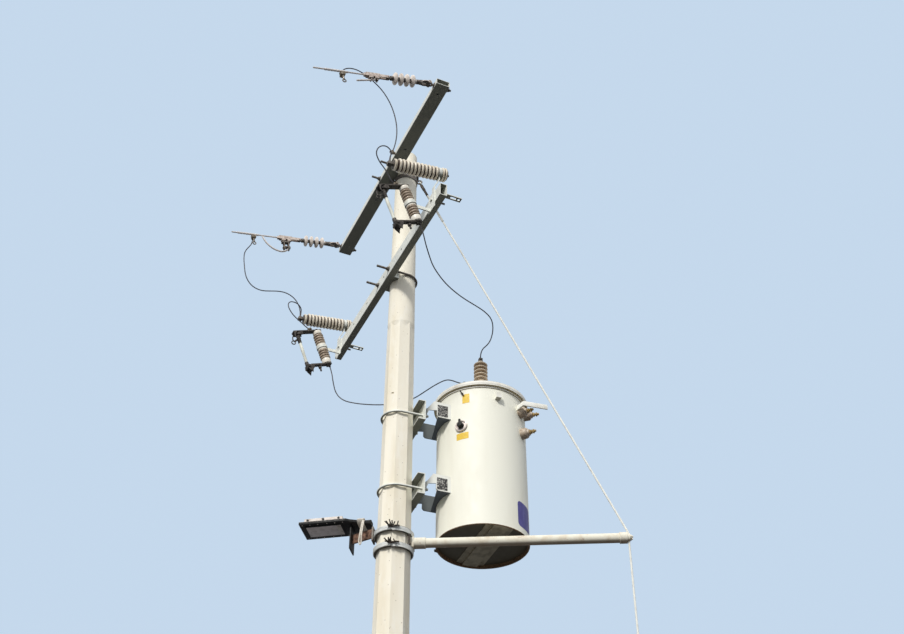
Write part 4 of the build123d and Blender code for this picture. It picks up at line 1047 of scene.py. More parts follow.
@dataclass
class PoleAndCrossarms(Assembly):
    """Concrete pole, its two tube crossarms and the bolts that hold them."""

    upper_height: float = 8.98
    lower_height: float = 7.915
    upper_face: float = -0.183677
    lower_face: float = -0.148906
    arm_wide: float = 0.102
    arm_thin: float = 0.051
    string_y: float = 0.95
    bracket_bolts: tuple[float, float] = (-0.8725, 0.9075)
    bolt_radius: float = 0.008
    bracket_bolt_radius: float = 0.0065
    nut_end: float = 0.016
    bracket_nut_end: float = 0.0112
    pitch: float = 0.0025
    ridge: float = 0.0007
    groove: float = 0.0001

    def build(self) -> None:
        """Finishes the pole and arms and cuts the bolts' threads."""
        self.bench.dress_nodes(CONCRETE, "pole")
        self.bench.dress_nodes(GALVANISED, "upper_crossarm", "lower_crossarm", "lower_crossarm_saddle",
                               "equipment_brackets")
        self.bench.dress_nodes(HARDWARE, "upper_crossarm_u_bolt", "lower_crossarm_u_bolt", "crossarm_eyebolts")
        upper = round_radius(self.upper_height) + self.bolt_radius
        lower = round_radius(self.lower_height - self.arm_wide / 2) + self.bolt_radius
        upper_back, lower_back = self.upper_face - self.nut_end, self.lower_face - self.nut_end
        upper_front = self.upper_face + self.arm_wide + self.nut_end
        lower_front = self.lower_face + self.arm_thin + self.bracket_nut_end
        threads = [self._thread(length, radius, [stand((x, y, height), (way, 0, 0)) for y in rows])
                   for length, radius, x, height, way, rows in (
                       (0.05, self.bolt_radius, upper_back, self.upper_height, -1, (-upper, upper)),
                       (0.075, self.bolt_radius, lower_back, self.lower_height, -1, (-lower, lower)),
                       (0.0135, self.bolt_radius, upper_front, self.upper_height, 1, (-self.string_y, self.string_y)),
                       (0.028, self.bracket_bolt_radius, lower_front, self.lower_height, 1, self.bracket_bolts))]
        self.bench.complete(threads, HARDWARE, "bolt_threads")

    def _thread(self, length: float, radius: float, places: Sequence[Matrix]) -> Piece:
        """Cuts a length of thread and copies it to each bolt.

        Args:
            length: its length.
            radius: the bolt's radius.
            places: where each starts.

        Returns:
            The threads as one piece.
        """
        profile = [(0.0, 0.0), (radius, 0.0)]
        for number in range(int(length / self.pitch)):
            profile += [(radius + self.ridge, (number + 0.5) * self.pitch),
                        (radius + self.groove, (number + 1) * self.pitch)]
        profile += [(radius - 0.001, length + 0.0008), (0.0, length + 0.0008)]
        return self.bench.copies(self.bench.lathe(profile, Matrix(), 14), places)


# Dead-end strings
@dataclass
class DeadEndStrings(Assembly):
    """Two sagging insulators with their clamps and short lengths of the line.

    Each row is the string's place along the arm, its fall in degrees and where the sleeve sits on its wire.
    Each tail is a line of points along and below the string.
    """

    eye_x: float = -0.219677
    arm_height: float = 8.98
    rows: tuple[tuple[float, float, float], ...] = ((-0.95, 16.0, 0.685), (0.95, 12.0, 0.72))
    shed_radius: float = 0.045
    shed_first: float = 0.136
    shed_pitch: float = 0.046
    core_radius: float = 0.014
    cap_radius: float = 0.0165
    crimp_radius: float = 0.0175
    crimps: tuple[tuple[float, float], ...] = ((0.076, 0.1125), (0.2735, 0.3125))
    pin_level: float = 0.0038
    cheek: Place = (0.006, 0.026, 0.0925)
    tongue: Place = (0.0118, 0.026, 0.036)
    keeper_side: float = 0.011
    keeper_jaws: tuple[float, float] = (0.424, 0.471)
    hanging_jaws: tuple[float, float] = (0.432, 0.47)
    wire_start: float = 0.518
    wire_end: float = 0.8985
    wire_step: float = 0.008
    wire_radius: float = 0.0046
    strand_radius: float = 0.0015
    strand_turn: float = 0.1
    tail_size: float = 1.15
    sleeve_radius: float = 0.009
    tails: tuple[tuple[tuple[float, float], ...], ...] = (
        ((0.586, 0.068), (0.53, 0.057), (0.467, 0.044), (0.44, 0.038)),
        ((0.643, 0.009), (0.632, 0.04), (0.61, 0.078), (0.568, 0.118), (0.52, 0.138), (0.48, 0.137), (0.45, 0.12),
         (0.436, 0.098)))

    def places(self) -> list[Matrix]:
        """Works out where each string hangs.

        Returns:
            Each string's frame, whose Z runs along the string and whose Y points below it.
        """
        falls = [(across, math.radians(drop)) for across, drop, _ in self.rows]
        return [stand((self.eye_x, across, self.arm_height), (-math.cos(fall), 0, -math.sin(fall)))
                for across, fall in falls]

    def build(self) -> None:
        """Models the insulators, their fittings and the stranded wire."""
        self.bench.dress_nodes(CASTING, "dead_end_clamps")
        self.bench.dress_nodes(BRONZE, "hot_line_clamps")
        core, cap = self.core_radius, self.cap_radius
        profile = [(0, 0.11), (cap, 0.11), (cap, 0.1125), (core + 0.0005, 0.116)]
        profile += rain_sheds(self.shed_first, self.shed_pitch, 4, core, self.shed_radius, 0.009, 0.011)
        profile += [(core, 0.272), (cap, 0.2745), (cap, 0.278), (0, 0.278)]
        sheds = self.bench.dress(self.bench.lathe(profile, Matrix(), 48), STRING_POLYMER, SHED_SHADE)
        # Painted shade: the sheds' faces towards the arm and the core between them are darkened
        self.bench.paint(sheds, 1, lambda spot: 0.125 < spot.z < 0.276 and math.hypot(spot.x, spot.y) < self.shed_radius
                         - 0.003 and (spot.z - self.shed_first + 0.0065) % self.shed_pitch < 0.0035)
        self.bench.paint(sheds, 1, lambda spot: 0.125 < spot.z < 0.27 and math.hypot(spot.x, spot.y) < core + 0.002)
        self.bench.set_down(self.bench.copies(sheds, self.places()), "string_sheds", "polymer_grey",
                            nodes=("string_insulators",))
        self._fittings()
        self._keepers()
        self._line()

    def _fittings(self) -> None:
        """Models the crimped ends, the clevis, its shackle and the tongue of each insulator."""
        parts = []
        crimp, ring = self.crimp_radius, self.crimp_radius - 0.0017
        for low, high in self.crimps:
            grip = [(0, low), (0.0155, low), (crimp, low + 0.003)]
            for number in range(3):
                level = low + 0.009 + number * 0.008
                grip += [(crimp, level), (ring, level + 0.0018), (ring, level + 0.0036), (crimp, level + 0.0054)]
            grip += [(crimp, high - 0.002), (0.0155, high), (0, high)]
            parts.append(self.bench.lathe(grip, Matrix(), 28))
        parts += [self.bench.slab(self.cheek, at(side * 0.012, 0, 0.034), 0.0022) for side in (-1, 1)]
        parts.append(self.bench.lathe([(0, -0.024), (0.006, -0.024), (0.007, -0.022), (0.007, 0.02), (0, 0.02)],
                                      stand((0, 0, self.pin_level), (1, 0, 0)), 20))
        parts.append(self.bench.nut(0.02, 0.007, stand((0.0165, 0, self.pin_level), (1, 0, 0))))
        parts.append(self.bench.slab(self.tongue, at(0, 0, 0.328), 0.002))
        self.bench.dress(self.bench.join(*parts), HARDWARE)
        half = [(0.02, 0, 0.012), (0.023, 0, 0.03), (0.021, 0, 0.05), (0.012, 0, 0.062)]
        bow = [*half, (0, 0, 0.066), *((-x, y, z) for x, y, z in reversed(half))]
        eye = [(0.0072, -0.005), (0.013, -0.005), (0.0145, -0.003), (0.0145, 0.003), (0.013, 0.005), (0.0072, 0.005),
               (0.0072, -0.005)]
        shackle = [self.bench.tube([smooth_line(bow, 4)], 0.006, 12)]
        shackle += [self.bench.lathe(eye, stand((side * 0.0205, 0, self.pin_level), (1, 0, 0)), 24) for side in (-1, 1)]
        pale = self.bench.dress(self.bench.join(*shackle), CASTING)
        self.bench.set_down(self.bench.copies(self.bench.join(parts[0], pale), self.places()), "string_fittings",
                            "galvanised_steel", nodes=("string_insulators",))

    def _keepers(self) -> None:
        """Models the clamps' keeper nuts and the far clamp's hanging bolts and bars."""
        sides = (-self.keeper_side, self.keeper_side)
        nuts = [self.bench.nut(0.0165, 0.008, stand((side, 0.0325, jaw), (0, 1, 0), (1, 0, 0)))
                for jaw in self.keeper_jaws for side in sides]
        parts = [self.bench.copies(self.bench.join(*nuts), self.places())]
        far = self.places()[1]
        for below, start, end, size, edge in ((0.046, 0.418, 0.486, (0.034, 0.012), 0.003),
                                              (0.094, 0.42, 0.482, (0.03, 0.014), 0.004)):
            parts.append(self.bench.beam(far @ Vector((0, below, start)), far @ Vector((0, below, end)), size,
                                         (0, 1, 0), edge))
        legs = [far @ stand((side, 0.03, jaw), (0, 1, 0), (1, 0, 0)) for jaw in self.hanging_jaws for side in sides]
        for leg in legs:
            parts.append(self.bench.lathe([(0, 0), (0.005, 0), (0.005, 0.088), (0, 0.09)], leg, 14))
            parts.append(self.bench.nut(0.017, 0.009, leg @ at(0, 0, 0.071)))
        self.bench.complete(parts, HARDWARE, "clamp_keeper_bolts")

    def _line(self) -> None:
        """Lays up the stranded wire, its turned-back tail and the sleeve on it."""
        wires, sleeves = [], []
        length = self.wire_end - self.wire_start
        steps = int(length / self.wire_step)
        rim, groove = self.sleeve_radius, self.sleeve_radius - 0.0011
        barrel = [(0, -0.045), (0.0075, -0.045), (rim, -0.042)]
        for number in range(7):
            level = -0.034 + number * 0.023
            barrel += [(rim, level), (groove, level + 0.003), (groove, level + 0.009), (rim, level + 0.012)]
        barrel += [(rim, 0.127), (0.0075, 0.13), (0, 0.13)]
        for (_, _, grip), corners, place in zip(self.rows, self.tails, self.places()):
            run = [place @ Vector((0, 0, self.wire_start + length * step / steps)) for step in range(steps + 1)]
            tail = [place @ Vector((0, below, along)) for along, below in smooth_line(corners, 6)]
            for path, size in ((run, 1.0), (tail, self.tail_size)):
                wires.append(self.bench.strands(path, self.wire_radius * size, self.strand_radius * size, 12,
                                                self.strand_turn))
                wires.append(self.bench.tube([path], self.wire_radius * size, 12))
            sleeves.append(self.bench.lathe(barrel, place @ at(0, 0, grip), 24))
        self.bench.complete(wires, LINE_WIRE, "line_strands", ("line_wires",), 60)
        self.bench.complete(sleeves, LINE_WIRE, "line_sleeves", ("line_wires",))


# Arresters and cutouts
@dataclass
class SurgeArresters(Assembly):
    """Two ribbed arresters that lie nearly level over the lower crossarm."""

    rows: tuple[float, float] = (-0.9, 0.93)
    band_x: float = -0.13
    height: float = 8.15
    tilt: float = math.radians(8)
    length: float = 0.322
    back: float = 0.07
    radius: float = 0.049
    core: float = 0.04
    groove: float = 0.035
    ribs: int = 11
    block: Place = (0.032, 0.034, 0.026)
    terminal: tuple[float, float] = (-0.47642, 8.11444)

    def build(self) -> None:
        """Turns the ribbed bodies and adds their terminals."""
        tip, back = self.length, -self.back
        core, deep, end = self.core, self.groove, self.core - 0.002
        profile = [(0, back), (end - 0.002, back), (end, back + 0.002), (end, -0.064), (deep, -0.0635)]
        profile += rain_sheds(-0.0555, 0.0195, 2, deep, self.radius, 0.0102, 0.0008)
        profile += [(deep, -0.0262), (core, -0.0245), (core, -0.0015), (deep, 0.0015)]
        profile += rain_sheds(0.013, (tip - 0.027) / self.ribs, self.ribs, deep, self.radius, 0.0146, 0.0012)
        profile += [(deep, tip - 0.0165), (core, tip - 0.0155), (core, tip - 0.003), (end - 0.003, tip), (0, tip)]
        body = self.bench.dress(self.bench.lathe(profile, Matrix(), 48), ARRESTER_GLAZE, GROOVE_DIRT_AND_SHADE, HARDWARE)
        # Dirt and painted shade in the grooves between the ribs
        self.bench.paint(body, 1, lambda spot: math.hypot(spot.x, spot.y) < deep + 0.0038 and -0.064 < spot.z < 0.306)
        self.bench.paint(body, 2, lambda spot: spot.z > tip - 0.0005 or spot.z < -0.0635)
        way = (-math.cos(self.tilt), 0, -math.sin(self.tilt))
        places = [stand((self.band_x, across, self.height), way) for across in self.rows]
        self.bench.set_down(self.bench.copies(body, places), "arrester_bodies", "porcelain", nodes=("surge_arresters",))
        studs = [self.bench.rod(0.008, tip - 0.001, tip + 0.026, Matrix()),
                 self.bench.rod(0.018, tip, tip + 0.002, Matrix(), 28),
                 self.bench.nut(0.024, 0.009, at(0, 0, tip + 0.002)),
                 self.bench.nut(0.022, 0.011, stand((0, 0, back), (0, 0, -1), (1, 0, 0))),
                 self.bench.lathe([(0, back - 0.02), (0.006, back - 0.02), (0.0078, back - 0.018), (0.0078, back),
                                   (0, back)], Matrix(), 20)]
        parts = [self.bench.copies(self.bench.join(*studs), places)]
        x, z = self.terminal[0], self.terminal[1] - self.block[2] / 2
        for y in self.rows:
            parts.append(self.bench.slab(self.block, at(x, y, z), 0.003))
            parts.append(self.bench.nut(0.014, 0.006, stand((x, y + self.block[1] / 2, z), (0, 1, 0), (1, 0, 0))))
        self.bench.complete(parts, HARDWARE, "arrester_terminals", ("surge_arresters",))


@dataclass
class FusedCutouts(Assembly):
    """Two leaning cutouts, each with a porcelain body, castings and a hinged fuse tube."""

    rows: tuple[tuple[str, float], ...] = (("near", -0.845), ("far", 0.885))
    hub_x: float = -0.296
    hub_height: float = 7.843
    lean: float = math.radians(21)
    half: float = 0.145
    core: float = 0.033
    cap: float = 0.034
    rim: float = 0.039
    band: float = 0.036
    shed_pitch: float = 0.021
    foot_bolt: float = 0.068
    horn: Profile = ((0.128, -0.152), (0.172, -0.158), (0.178, -0.176), (0.166, -0.2), (0.148, -0.226),
                     (0.138, -0.2), (0.122, -0.176))
    horn_side: float = 0.0262
    horn_thick: float = 0.005
    hook: tuple[Place, ...] = ((0.02, 0.15, 0.15), (0.027, 0.176, 0.146), (0.029, 0.196, 0.126), (0.029, 0.2, 0.1),
                               (0.03, 0.188, 0.082))
    hook_radius: float = 0.0045
    spring: tuple[tuple[float, float], ...] = ((0.09, 0.144), (0.118, 0.138), (0.146, 0.128), (0.17, 0.1265),
                                               (0.19, 0.133), (0.196, 0.144))
    spring_side: float = 0.008
    spring_radius: float = 0.003
    lug_spot: Place = (0, 0.052, 0.169)
    lug: Place = (0.024, 0.03, 0.026)
    fuse_out: float = 0.166
    fuse_radius: float = 0.011
    hinge_down: float = 0.168
    pull_ring: float = 0.015

    def place(self, across: float) -> Matrix:
        """Gives a cutout's frame, whose Z runs up its body and whose Y points out to its fuse tube."""
        return stand((self.hub_x, across, self.hub_height), (-math.sin(self.lean), 0, math.cos(self.lean)))

    def build(self) -> None:
        """Models the bodies, the bolts and springs of the castings, and the fuse tubes."""
        self.bench.dress_nodes(DARK_CASTING, "cutout_top_contacts", "cutout_lower_hinges")
        places = [self.place(across) for _, across in self.rows]
        half, core, cap, pitch = self.half, self.core, self.cap, self.shed_pitch
        profile = [(0, -half), (0.029, -half), (0.033, -half + 0.002), (cap, -half + 0.006), (cap, -0.1085),
                   (core, -0.1065)]
        profile += rain_sheds(-0.098, pitch, 4, core, self.rim, 0.0105, 0.0003)
        profile += [(core, -0.0262), (self.band, -0.0245), (self.band, 0.0245), (core, 0.0262)]
        profile += rain_sheds(0.038, pitch, 4, core, self.rim, 0.0105, 0.0003)
        profile += [(core, 0.1165), (cap, 0.118), (cap, half - 0.006), (0.033, half - 0.002), (0.029, half),
                    (0, half)]
        body = self.bench.dress(self.bench.lathe(profile, Matrix(), 44), CUTOUT_GLAZE, GROOVE_DIRT_AND_SHADE, CUTOUT_CREAM)
        # Dirt and painted shade on the core between the sheds
        self.bench.paint(body, 1, lambda spot: math.hypot(spot.x, spot.y) < core * 0.9985)
        self.bench.paint(body, 2, lambda spot: abs(spot.z) < 0.0264 or spot.z < -0.1064 or spot.z > 0.1164)
        self.bench.set_down(self.bench.copies(body, places), "cutout_bodies", "porcelain", nodes=("cutout_insulators",))
        self._castings(places)
        for (row, _), place in zip(self.rows, places):
            self._fuse(row, place)

    def _castings(self, places: Sequence[Matrix]) -> None:
        """Adds the castings' bolts, horns, hooks and contact springs and the lug on top.

        Args:
            places: the cutouts' frames.
        """
        down, foot = (0, 0, -1), -self.half - 0.01
        parts = [self.bench.nut(0.026, 0.011, at(0, 0, self.half + 0.01)),
                 self.bench.nut(0.026, 0.011, stand((0, 0, foot - 0.002), down, (1, 0, 0))),
                 self.bench.lathe([(0, 0), (0.007, 0), (0.007, 0.05), (0.005, 0.052), (0, 0.052)],
                                  stand((0, self.foot_bolt, foot), down, (1, 0, 0)), 18),
                 self.bench.nut(0.024, 0.014, stand((0, self.foot_bolt, foot - 0.012), down, (1, 0, 0)))]
        for side in (-1, 1):
            cheek = stand((side * self.horn_side - self.horn_thick / 2, 0, 0), (1, 0, 0))
            face = (side * (self.horn_side + self.horn_thick / 2), self.fuse_out, -self.hinge_down)
            parts.append(self.bench.prism(self.horn, self.horn_thick, cheek, 0.0012))
            parts.append(self.bench.nut(0.02, 0.008, stand(face, (side, 0, 0))))
            hook = [(side * x, y, z) for x, y, z in self.hook]
            spring = [(side * self.spring_side, y, z) for y, z in self.spring]
            parts.append(self.bench.tube([smooth_line(hook, 5)], self.hook_radius, 8))
            parts.append(self.bench.tube([smooth_line(spring, 5)], self.spring_radius, 8))
        dark = self.bench.dress(self.bench.join(*parts), DARK_CASTING)
        spot = at(*self.lug_spot)
        face = self.lug[0] / 2
        lug = [self.bench.slab(self.lug, spot, 0.005)]
        lug += [self.bench.nut(0.017, 0.009, spot @ stand((side * face, 0, 0), (side, 0, 0))) for side in (1, -1)]
        castings = self.bench.join(dark, self.bench.dress(self.bench.join(*lug), BRONZE))
        self.bench.set_down(self.bench.copies(castings, places), "cutout_hooks_and_bolts", "cast_aluminium")

    def _fuse(self, row: str, place: Matrix) -> None:
        """Models one fuse tube with its ferrules, hinge casting and pull ring.

        Args:
            row: near or far.
            place: the cutout's frame.
        """
        seat = place @ at(0, self.fuse_out, 0)
        radius = self.fuse_radius
        wrap, collar = radius + 0.0008, radius + 0.005
        barrel = self.bench.lathe([(0, -0.15), (radius, -0.15), (radius, -0.03), (wrap, -0.026), (wrap, 0.02),
                                   (radius, 0.024), (radius, 0.089), (0, 0.089)], seat, 28)
        self.bench.set_down(self.bench.dress(barrel, FUSE_FIBRE), f"{row}_fuse_barrel", "fuse_fibre",
                            f"{row}_fuse_tube_body", (f"{row}_fuse_tube",))
        top = [(0, 0.052), (radius + 0.002, 0.052), (radius + 0.003, 0.055), (radius + 0.003, 0.084),
               (collar, 0.087), (collar, 0.097), (radius + 0.0035, 0.099), (radius + 0.0035, 0.104),
               (collar, 0.106), (collar, 0.113), (radius + 0.002, 0.118), (0, 0.119)]
        foot = [(0, -0.154), (radius + 0.004, -0.154), (radius + 0.004, -0.127), (radius + 0.002, -0.122),
                (0, -0.122)]
        shank = self.bench.beam(seat @ Vector((0, 0.006, 0.088)), seat @ Vector((0, 0.04, 0.07)), (0.01, 0.014),
                                (0, 1, 0), 0.002)
        eye = [seat @ Vector((0, 0.052 + y, 0.06 + z)) for y, z in circle(self.pull_ring, 28)]
        parts = self.bench.join(self.bench.lathe(top, seat, 28), self.bench.lathe(foot, seat, 28),
                                self.bench.slab((0.033, 0.024, 0.036), seat @ at(0, 0, -0.166), 0.005),
                                self.bench.rod(0.005, -0.025, 0.025, seat @ stand((0, 0, -self.hinge_down), (1, 0, 0))),
                                shank, self.bench.tube([eye], 0.0042, 8, closed=True))
        self.bench.set_down(self.bench.dress(parts, DARK_CASTING), f"{row}_fuse_fittings", "fuse_fibre",
                            f"{row}_fuse_tube_body", (f"{row}_fuse_tube",))


# Tank
@dataclass
class TransformerTank(Assembly):
    """Oil tank with its lid, bushings, tap changer and blank patches.

    Angles are degrees round the tank from its frame's X axis.
    """

    middle_x: float = 0.594
    radius: float = 0.301
    bottom: float = 5.888
    top: float = 6.918
    wall_steps: int = 120
    rim_wall: float = 0.0012
    rim_inner: float = 0.2922
    rim_outer: float = 0.3016
    bead: tuple[float, float] = (0.0053, 0.014)
    bar_root: tuple[float, float] = (-57.5, 6.829)
    bar_knee: Place = (0.173, -0.336, 6.822)
    bar_end: Place = (0.348, -0.336, 6.832)
    tap_angle: float = -137.0
    tap_height: float = 6.627
    bushing_x: float = 0.537
    bushing_y: float = 0.153
    clamp_bolts: float = 0.05
    terminal: float = 0.026
    low_bushings: tuple[tuple[float, float], ...] = ((-51.0, 6.81), (-47.0, 6.655), (-33.0, 6.85))
    stud_pitch: float = 0.0026
    patch_cut: float = 0.008
    patch_thick: float = 0.0006
    plug: tuple[float, float] = (-214.0, 5.9)

    def frame(self) -> Matrix:
        """Gives the tank's own frame, turned with the octagon, on its middle line at ground level."""
        return POLE_TURN @ at(self.middle_x, 0, 0)

    def on_wall(self, angle: float, height: float, out: float = 0.0) -> Matrix:
        """Gives a place on the wall whose Z points outwards.

        Args:
            angle: degrees round the tank.
            height: height above the ground.
            out: distance out from the wall.

        Returns:
            The place, its X pointing up.
        """
        turn = math.radians(angle)
        way = Vector((math.cos(turn), math.sin(turn), 0))
        spot = (self.radius + out) * way + Vector((0, 0, height))
        return self.frame() @ stand(spot, way, (0, 0, 1))

    def build(self) -> None:
        """Finishes the shell and models what sits on it."""
        for finish, node in ((ENAMEL, "tank"), (LID_ENAMEL, "tank_lid"), (TANK_FLOOR, "tank_skids"),
                             (LUG_ENAMEL, "lifting_lugs")):
            self.bench.dress_nodes(finish, node)
        self._rims()
        self._side_bar()
        self._primary_bushings()
        self._low_bushings()
        self._tap_changer()
        self._patch((-135.6, -126.0), (6.805, 6.877), 0.003, YELLOW_PATCH, "upper_yellow_patch")
        self._patch((-144.0, -127.5), (6.525, 6.575), 0.003, YELLOW_PATCH, "lower_yellow_patch")
        self._patch((-63.5, -33.0), (5.932, 6.112), 0.026, VIOLET_PATCH, "violet_patch")
        self._small_parts()

    def _rims(self) -> None:
        """Adds the rusty lining of the recessed bottom and the lid's rolled bead."""
        wall, inner, outer = self.rim_wall, self.rim_inner, self.rim_outer
        low, high = self.bottom - 0.0006, self.bottom + 0.025
        lining = [(inner, high), (inner, low + 0.001), (inner + 0.001, low), (outer - 0.0008, low),
                  (outer, low + 0.0008), (outer, low + 0.0028), (outer - wall, low + 0.0028),
                  (outer - wall, low + 0.0018), (inner + wall, low + 0.0018), (inner + wall, high), (inner, high)]
        self.bench.complete([self.bench.lathe(lining, self.frame(), self.wall_steps)], RUSTY_EDGE, "tank_rusty_edge")
        middle, level = self.radius + 0.0165, self.top + 0.03
        roll = [(middle + self.bead[0] * x, level + self.bead[1] * y) for x, y in circle(1, 12)]
        self.bench.complete([self.bench.lathe([*roll, roll[0]], self.frame(), self.wall_steps)], LID_ENAMEL,
                            "lid_rolled_bead")

    def _side_bar(self) -> None:
        """Bends the flat bar that stands out from the wall beside the secondary bushings."""
        wall = self.on_wall(*self.bar_root, -0.003).translation
        knee, end = self.frame() @ Vector(self.bar_knee), self.frame() @ Vector(self.bar_end)
        overlap = 0.004
        bar = [self.bench.beam(wall, knee + (knee - wall).normalized() * overlap, (0.034, 0.009), edge=0.002),
               self.bench.beam(knee - (end - knee).normalized() * overlap, end, (0.036, 0.009), edge=0.002)]
        self.bench.complete(bar, LUG_ENAMEL, "side_bar", ("side_bar_bracket",))

    def _primary_bushings(self) -> None:
        """Turns the two primary bushings with their clamps and terminals."""
        profile = [(0, 0.05), (0.058, 0.05), (0.06, 0.053), (0.06, 0.062), (0.058, 0.065), (0.041, 0.067),
                   (0.0375, 0.078), (0.034, 0.1), (0.031, 0.146)]
        profile += rain_sheds(0.162, 0.03, 5, 0.025, 0.048, 0.0085, 0.01)
        profile += [(0.023, 0.304), (0.022, 0.312), (0.0105, 0.3155), (0.0105, 0.344), (0.009, 0.345), (0, 0.345)]
        body = self.bench.dress(self.bench.lathe(profile, Matrix(), 48), BUSHING_GLAZE, LID_ENAMEL, HARDWARE)
        self.bench.paint(body, 1, lambda spot: spot.z < 0.0669)
        self.bench.paint(body, 2, lambda spot: spot.z > 0.3125)
        block = at(0, 0, 0.332)
        metal = [self.bench.slab((self.terminal,) * 3, block, 0.003),
                 self.bench.nut(0.013, 0.007, block @ stand((0, 0.0005 - self.terminal / 2, 0), (0, -1, 0), (1, 0, 0)))]
        metal += [self.bench.nut(0.014, 0.008, at(x, y, 0.064)) for x, y in circle(self.clamp_bolts, 4, math.pi / 4)]
        bushing = self.bench.join(body, self.bench.dress(self.bench.join(*metal), HARDWARE))
        places = [POLE_TURN @ at(self.bushing_x, side * self.bushing_y, self.top) for side in (-1, 1)]
        self.bench.set_down(self.bench.copies(bushing, places), "primary_bushing_bodies", "porcelain",
                            nodes=("primary_bushings",))

    def _low_bushings(self) -> None:
        """Turns the three secondary bushings with bare brass terminals."""
        profile = [(0, 0.002), (0.037, 0.002), (0.038, 0.004), (0.038, 0.013), (0.0378, 0.018), (0.0375, 0.026),
                   (0.037, 0.036), (0.0345, 0.043), (0.029, 0.048), (0.0235, 0.051), (0.0225, 0.054),
                   (0.0225, 0.06), (0.02, 0.062), (0, 0.062)]
        body = self.bench.dress(self.bench.lathe(profile, Matrix(), 36), LOW_BUSHING)
        stud = [(0, 0.06), (0.0085, 0.06)]
        for rise in (number * self.stud_pitch for number in range(16)):
            stud += [(0.0092, 0.061 + rise), (0.0084, 0.0623 + rise)]
        stud += [(0.0075, 0.106), (0, 0.106)]
        metal = self.bench.join(self.bench.lathe(stud, Matrix(), 20), self.bench.nut(0.026, 0.01, at(0, 0, 0.0625)),
                                self.bench.nut(0.026, 0.009, at(0, 0, 0.084)),
                                self.bench.rod(0.016, 0.0725, 0.0745, Matrix(), 24))
        bushing = self.bench.join(body, self.bench.dress(metal, BRASS))
        places = [self.on_wall(angle, height, -0.004) for angle, height in self.low_bushings]
        self.bench.set_down(self.bench.copies(bushing, places), "secondary_bushing_bodies", "polymer_dark",
                            nodes=("secondary_bushings",))

    def _tap_changer(self) -> None:
        """Models the tap changer's ring, dial and lever knob."""
        place = self.on_wall(self.tap_angle, self.tap_height, -0.004)
        ring = self.bench.lathe([(0.032, 0.002), (0.042, 0.002), (0.043, 0.004), (0.043, 0.012), (0.0415, 0.0155),
                                 (0.037, 0.017), (0.033, 0.0155), (0.032, 0.012), (0.032, 0.002)], place, 40)
        dial = self.bench.lathe([(0, 0.002), (0.033, 0.002), (0.033, 0.009), (0.03, 0.0105), (0.021, 0.0105),
                                 (0.0205, 0.014), (0.019, 0.036), (0.016, 0.04), (0, 0.041)], place, 36)
        self.bench.dress(dial, DIAL_METAL, LAMP_BLACK)
        inward = place.inverted()
        self.bench.paint(dial, 1, lambda spot: (inward @ spot).xy.length < 0.0212 or (inward @ spot).z > 0.0108)
        lever = self.bench.slab((0.056, 0.014, 0.014), place @ at(0.012, 0, 0.034), 0.003)
        knob = self.bench.join(self.bench.dress(ring, DIAL_METAL), dial, self.bench.dress(lever, LAMP_BLACK))
        self.bench.set_down(knob, "tap_changer_knob", "polymer_dark", nodes=("tap_changer",))

    def _patch(self, angles: tuple[float, float], heights: tuple[float, float], corner: float,
               finish: Finish, name: str) -> None:
        """Cuts a blank sheet with round corners and wraps it on the wall.

        Args:
            angles: its two sides.
            heights: its bottom and top.
            corner: radius of its corners.
            finish: its finish.
            name: its name.
        """
        wide = math.radians(angles[1] - angles[0]) * self.radius
        high = heights[1] - heights[0]
        outline = []
        for across, up, quarter in ((1, 1, 0), (-1, 1, 1), (-1, -1, 2), (1, -1, 3)):
            for x, y in circle(corner, 20, quarter * math.pi / 2)[:6]:
                outline.append((across * (wide / 2 - corner) + x, up * (high / 2 - corner) + y, 0))
        sheet = self.bench.chain(outline)
        bpy.ops.mesh.edge_face_add()
        cuts = max(4, int(wide / self.patch_cut))
        for cut in range(1, cuts):
            bpy.ops.mesh.select_all(action="SELECT")
            bpy.ops.mesh.bisect(plane_co=(wide * (cut / cuts - 0.5), 0, 0), plane_no=(1, 0, 0))
        bpy.ops.object.mode_set(mode="OBJECT")
        middle, level, reach = math.radians(sum(angles) / 2), sum(heights) / 2, self.radius + 0.0005
        for point in sheet.data.vertices:
            turn = middle + point.co.x / self.radius
            point.co = (reach * math.cos(turn), reach * math.sin(turn), level + point.co.y)
        self.bench.pick(sheet)
        bpy.ops.object.modifier_add(type="SOLIDIFY")
        wall = sheet.modifiers[-1]
        wall.thickness, wall.offset = self.patch_thick, 0
        bpy.ops.object.modifier_apply(modifier=wall.name)
        self.bench.complete([self.bench.lay(sheet, self.frame())], finish, name)

    def _small_parts(self) -> None:
        """Adds the stud below the lid and the drain plug."""
        high = self.on_wall(-137.5, 6.905, 0.013).translation
        low = self.on_wall(-133.4, 6.866, 0.006).translation
        place, reach = stand(high, low - high), (low - high).length
        stud = [(0, 0), (0.0045, 0), (0.0045, reach), (0.003, reach + 0.002), (0, reach + 0.002)]
        self.bench.complete([self.bench.lathe(stud, place, 16),
                             self.bench.nut(0.014, 0.007, place @ at(0, 0, reach * 0.55))], DARK_IRON, "lid_stud")
        plug = self.on_wall(*self.plug, -0.002)
        body = [(0, 0), (0.013, 0), (0.013, 0.008), (0.011, 0.01), (0, 0.01)]
        self.bench.complete([self.bench.lathe(body, plug, 24), self.bench.nut(0.016, 0.01, plug @ at(0, 0, 0.009))],
                            DARK_IRON, "drain_plug")


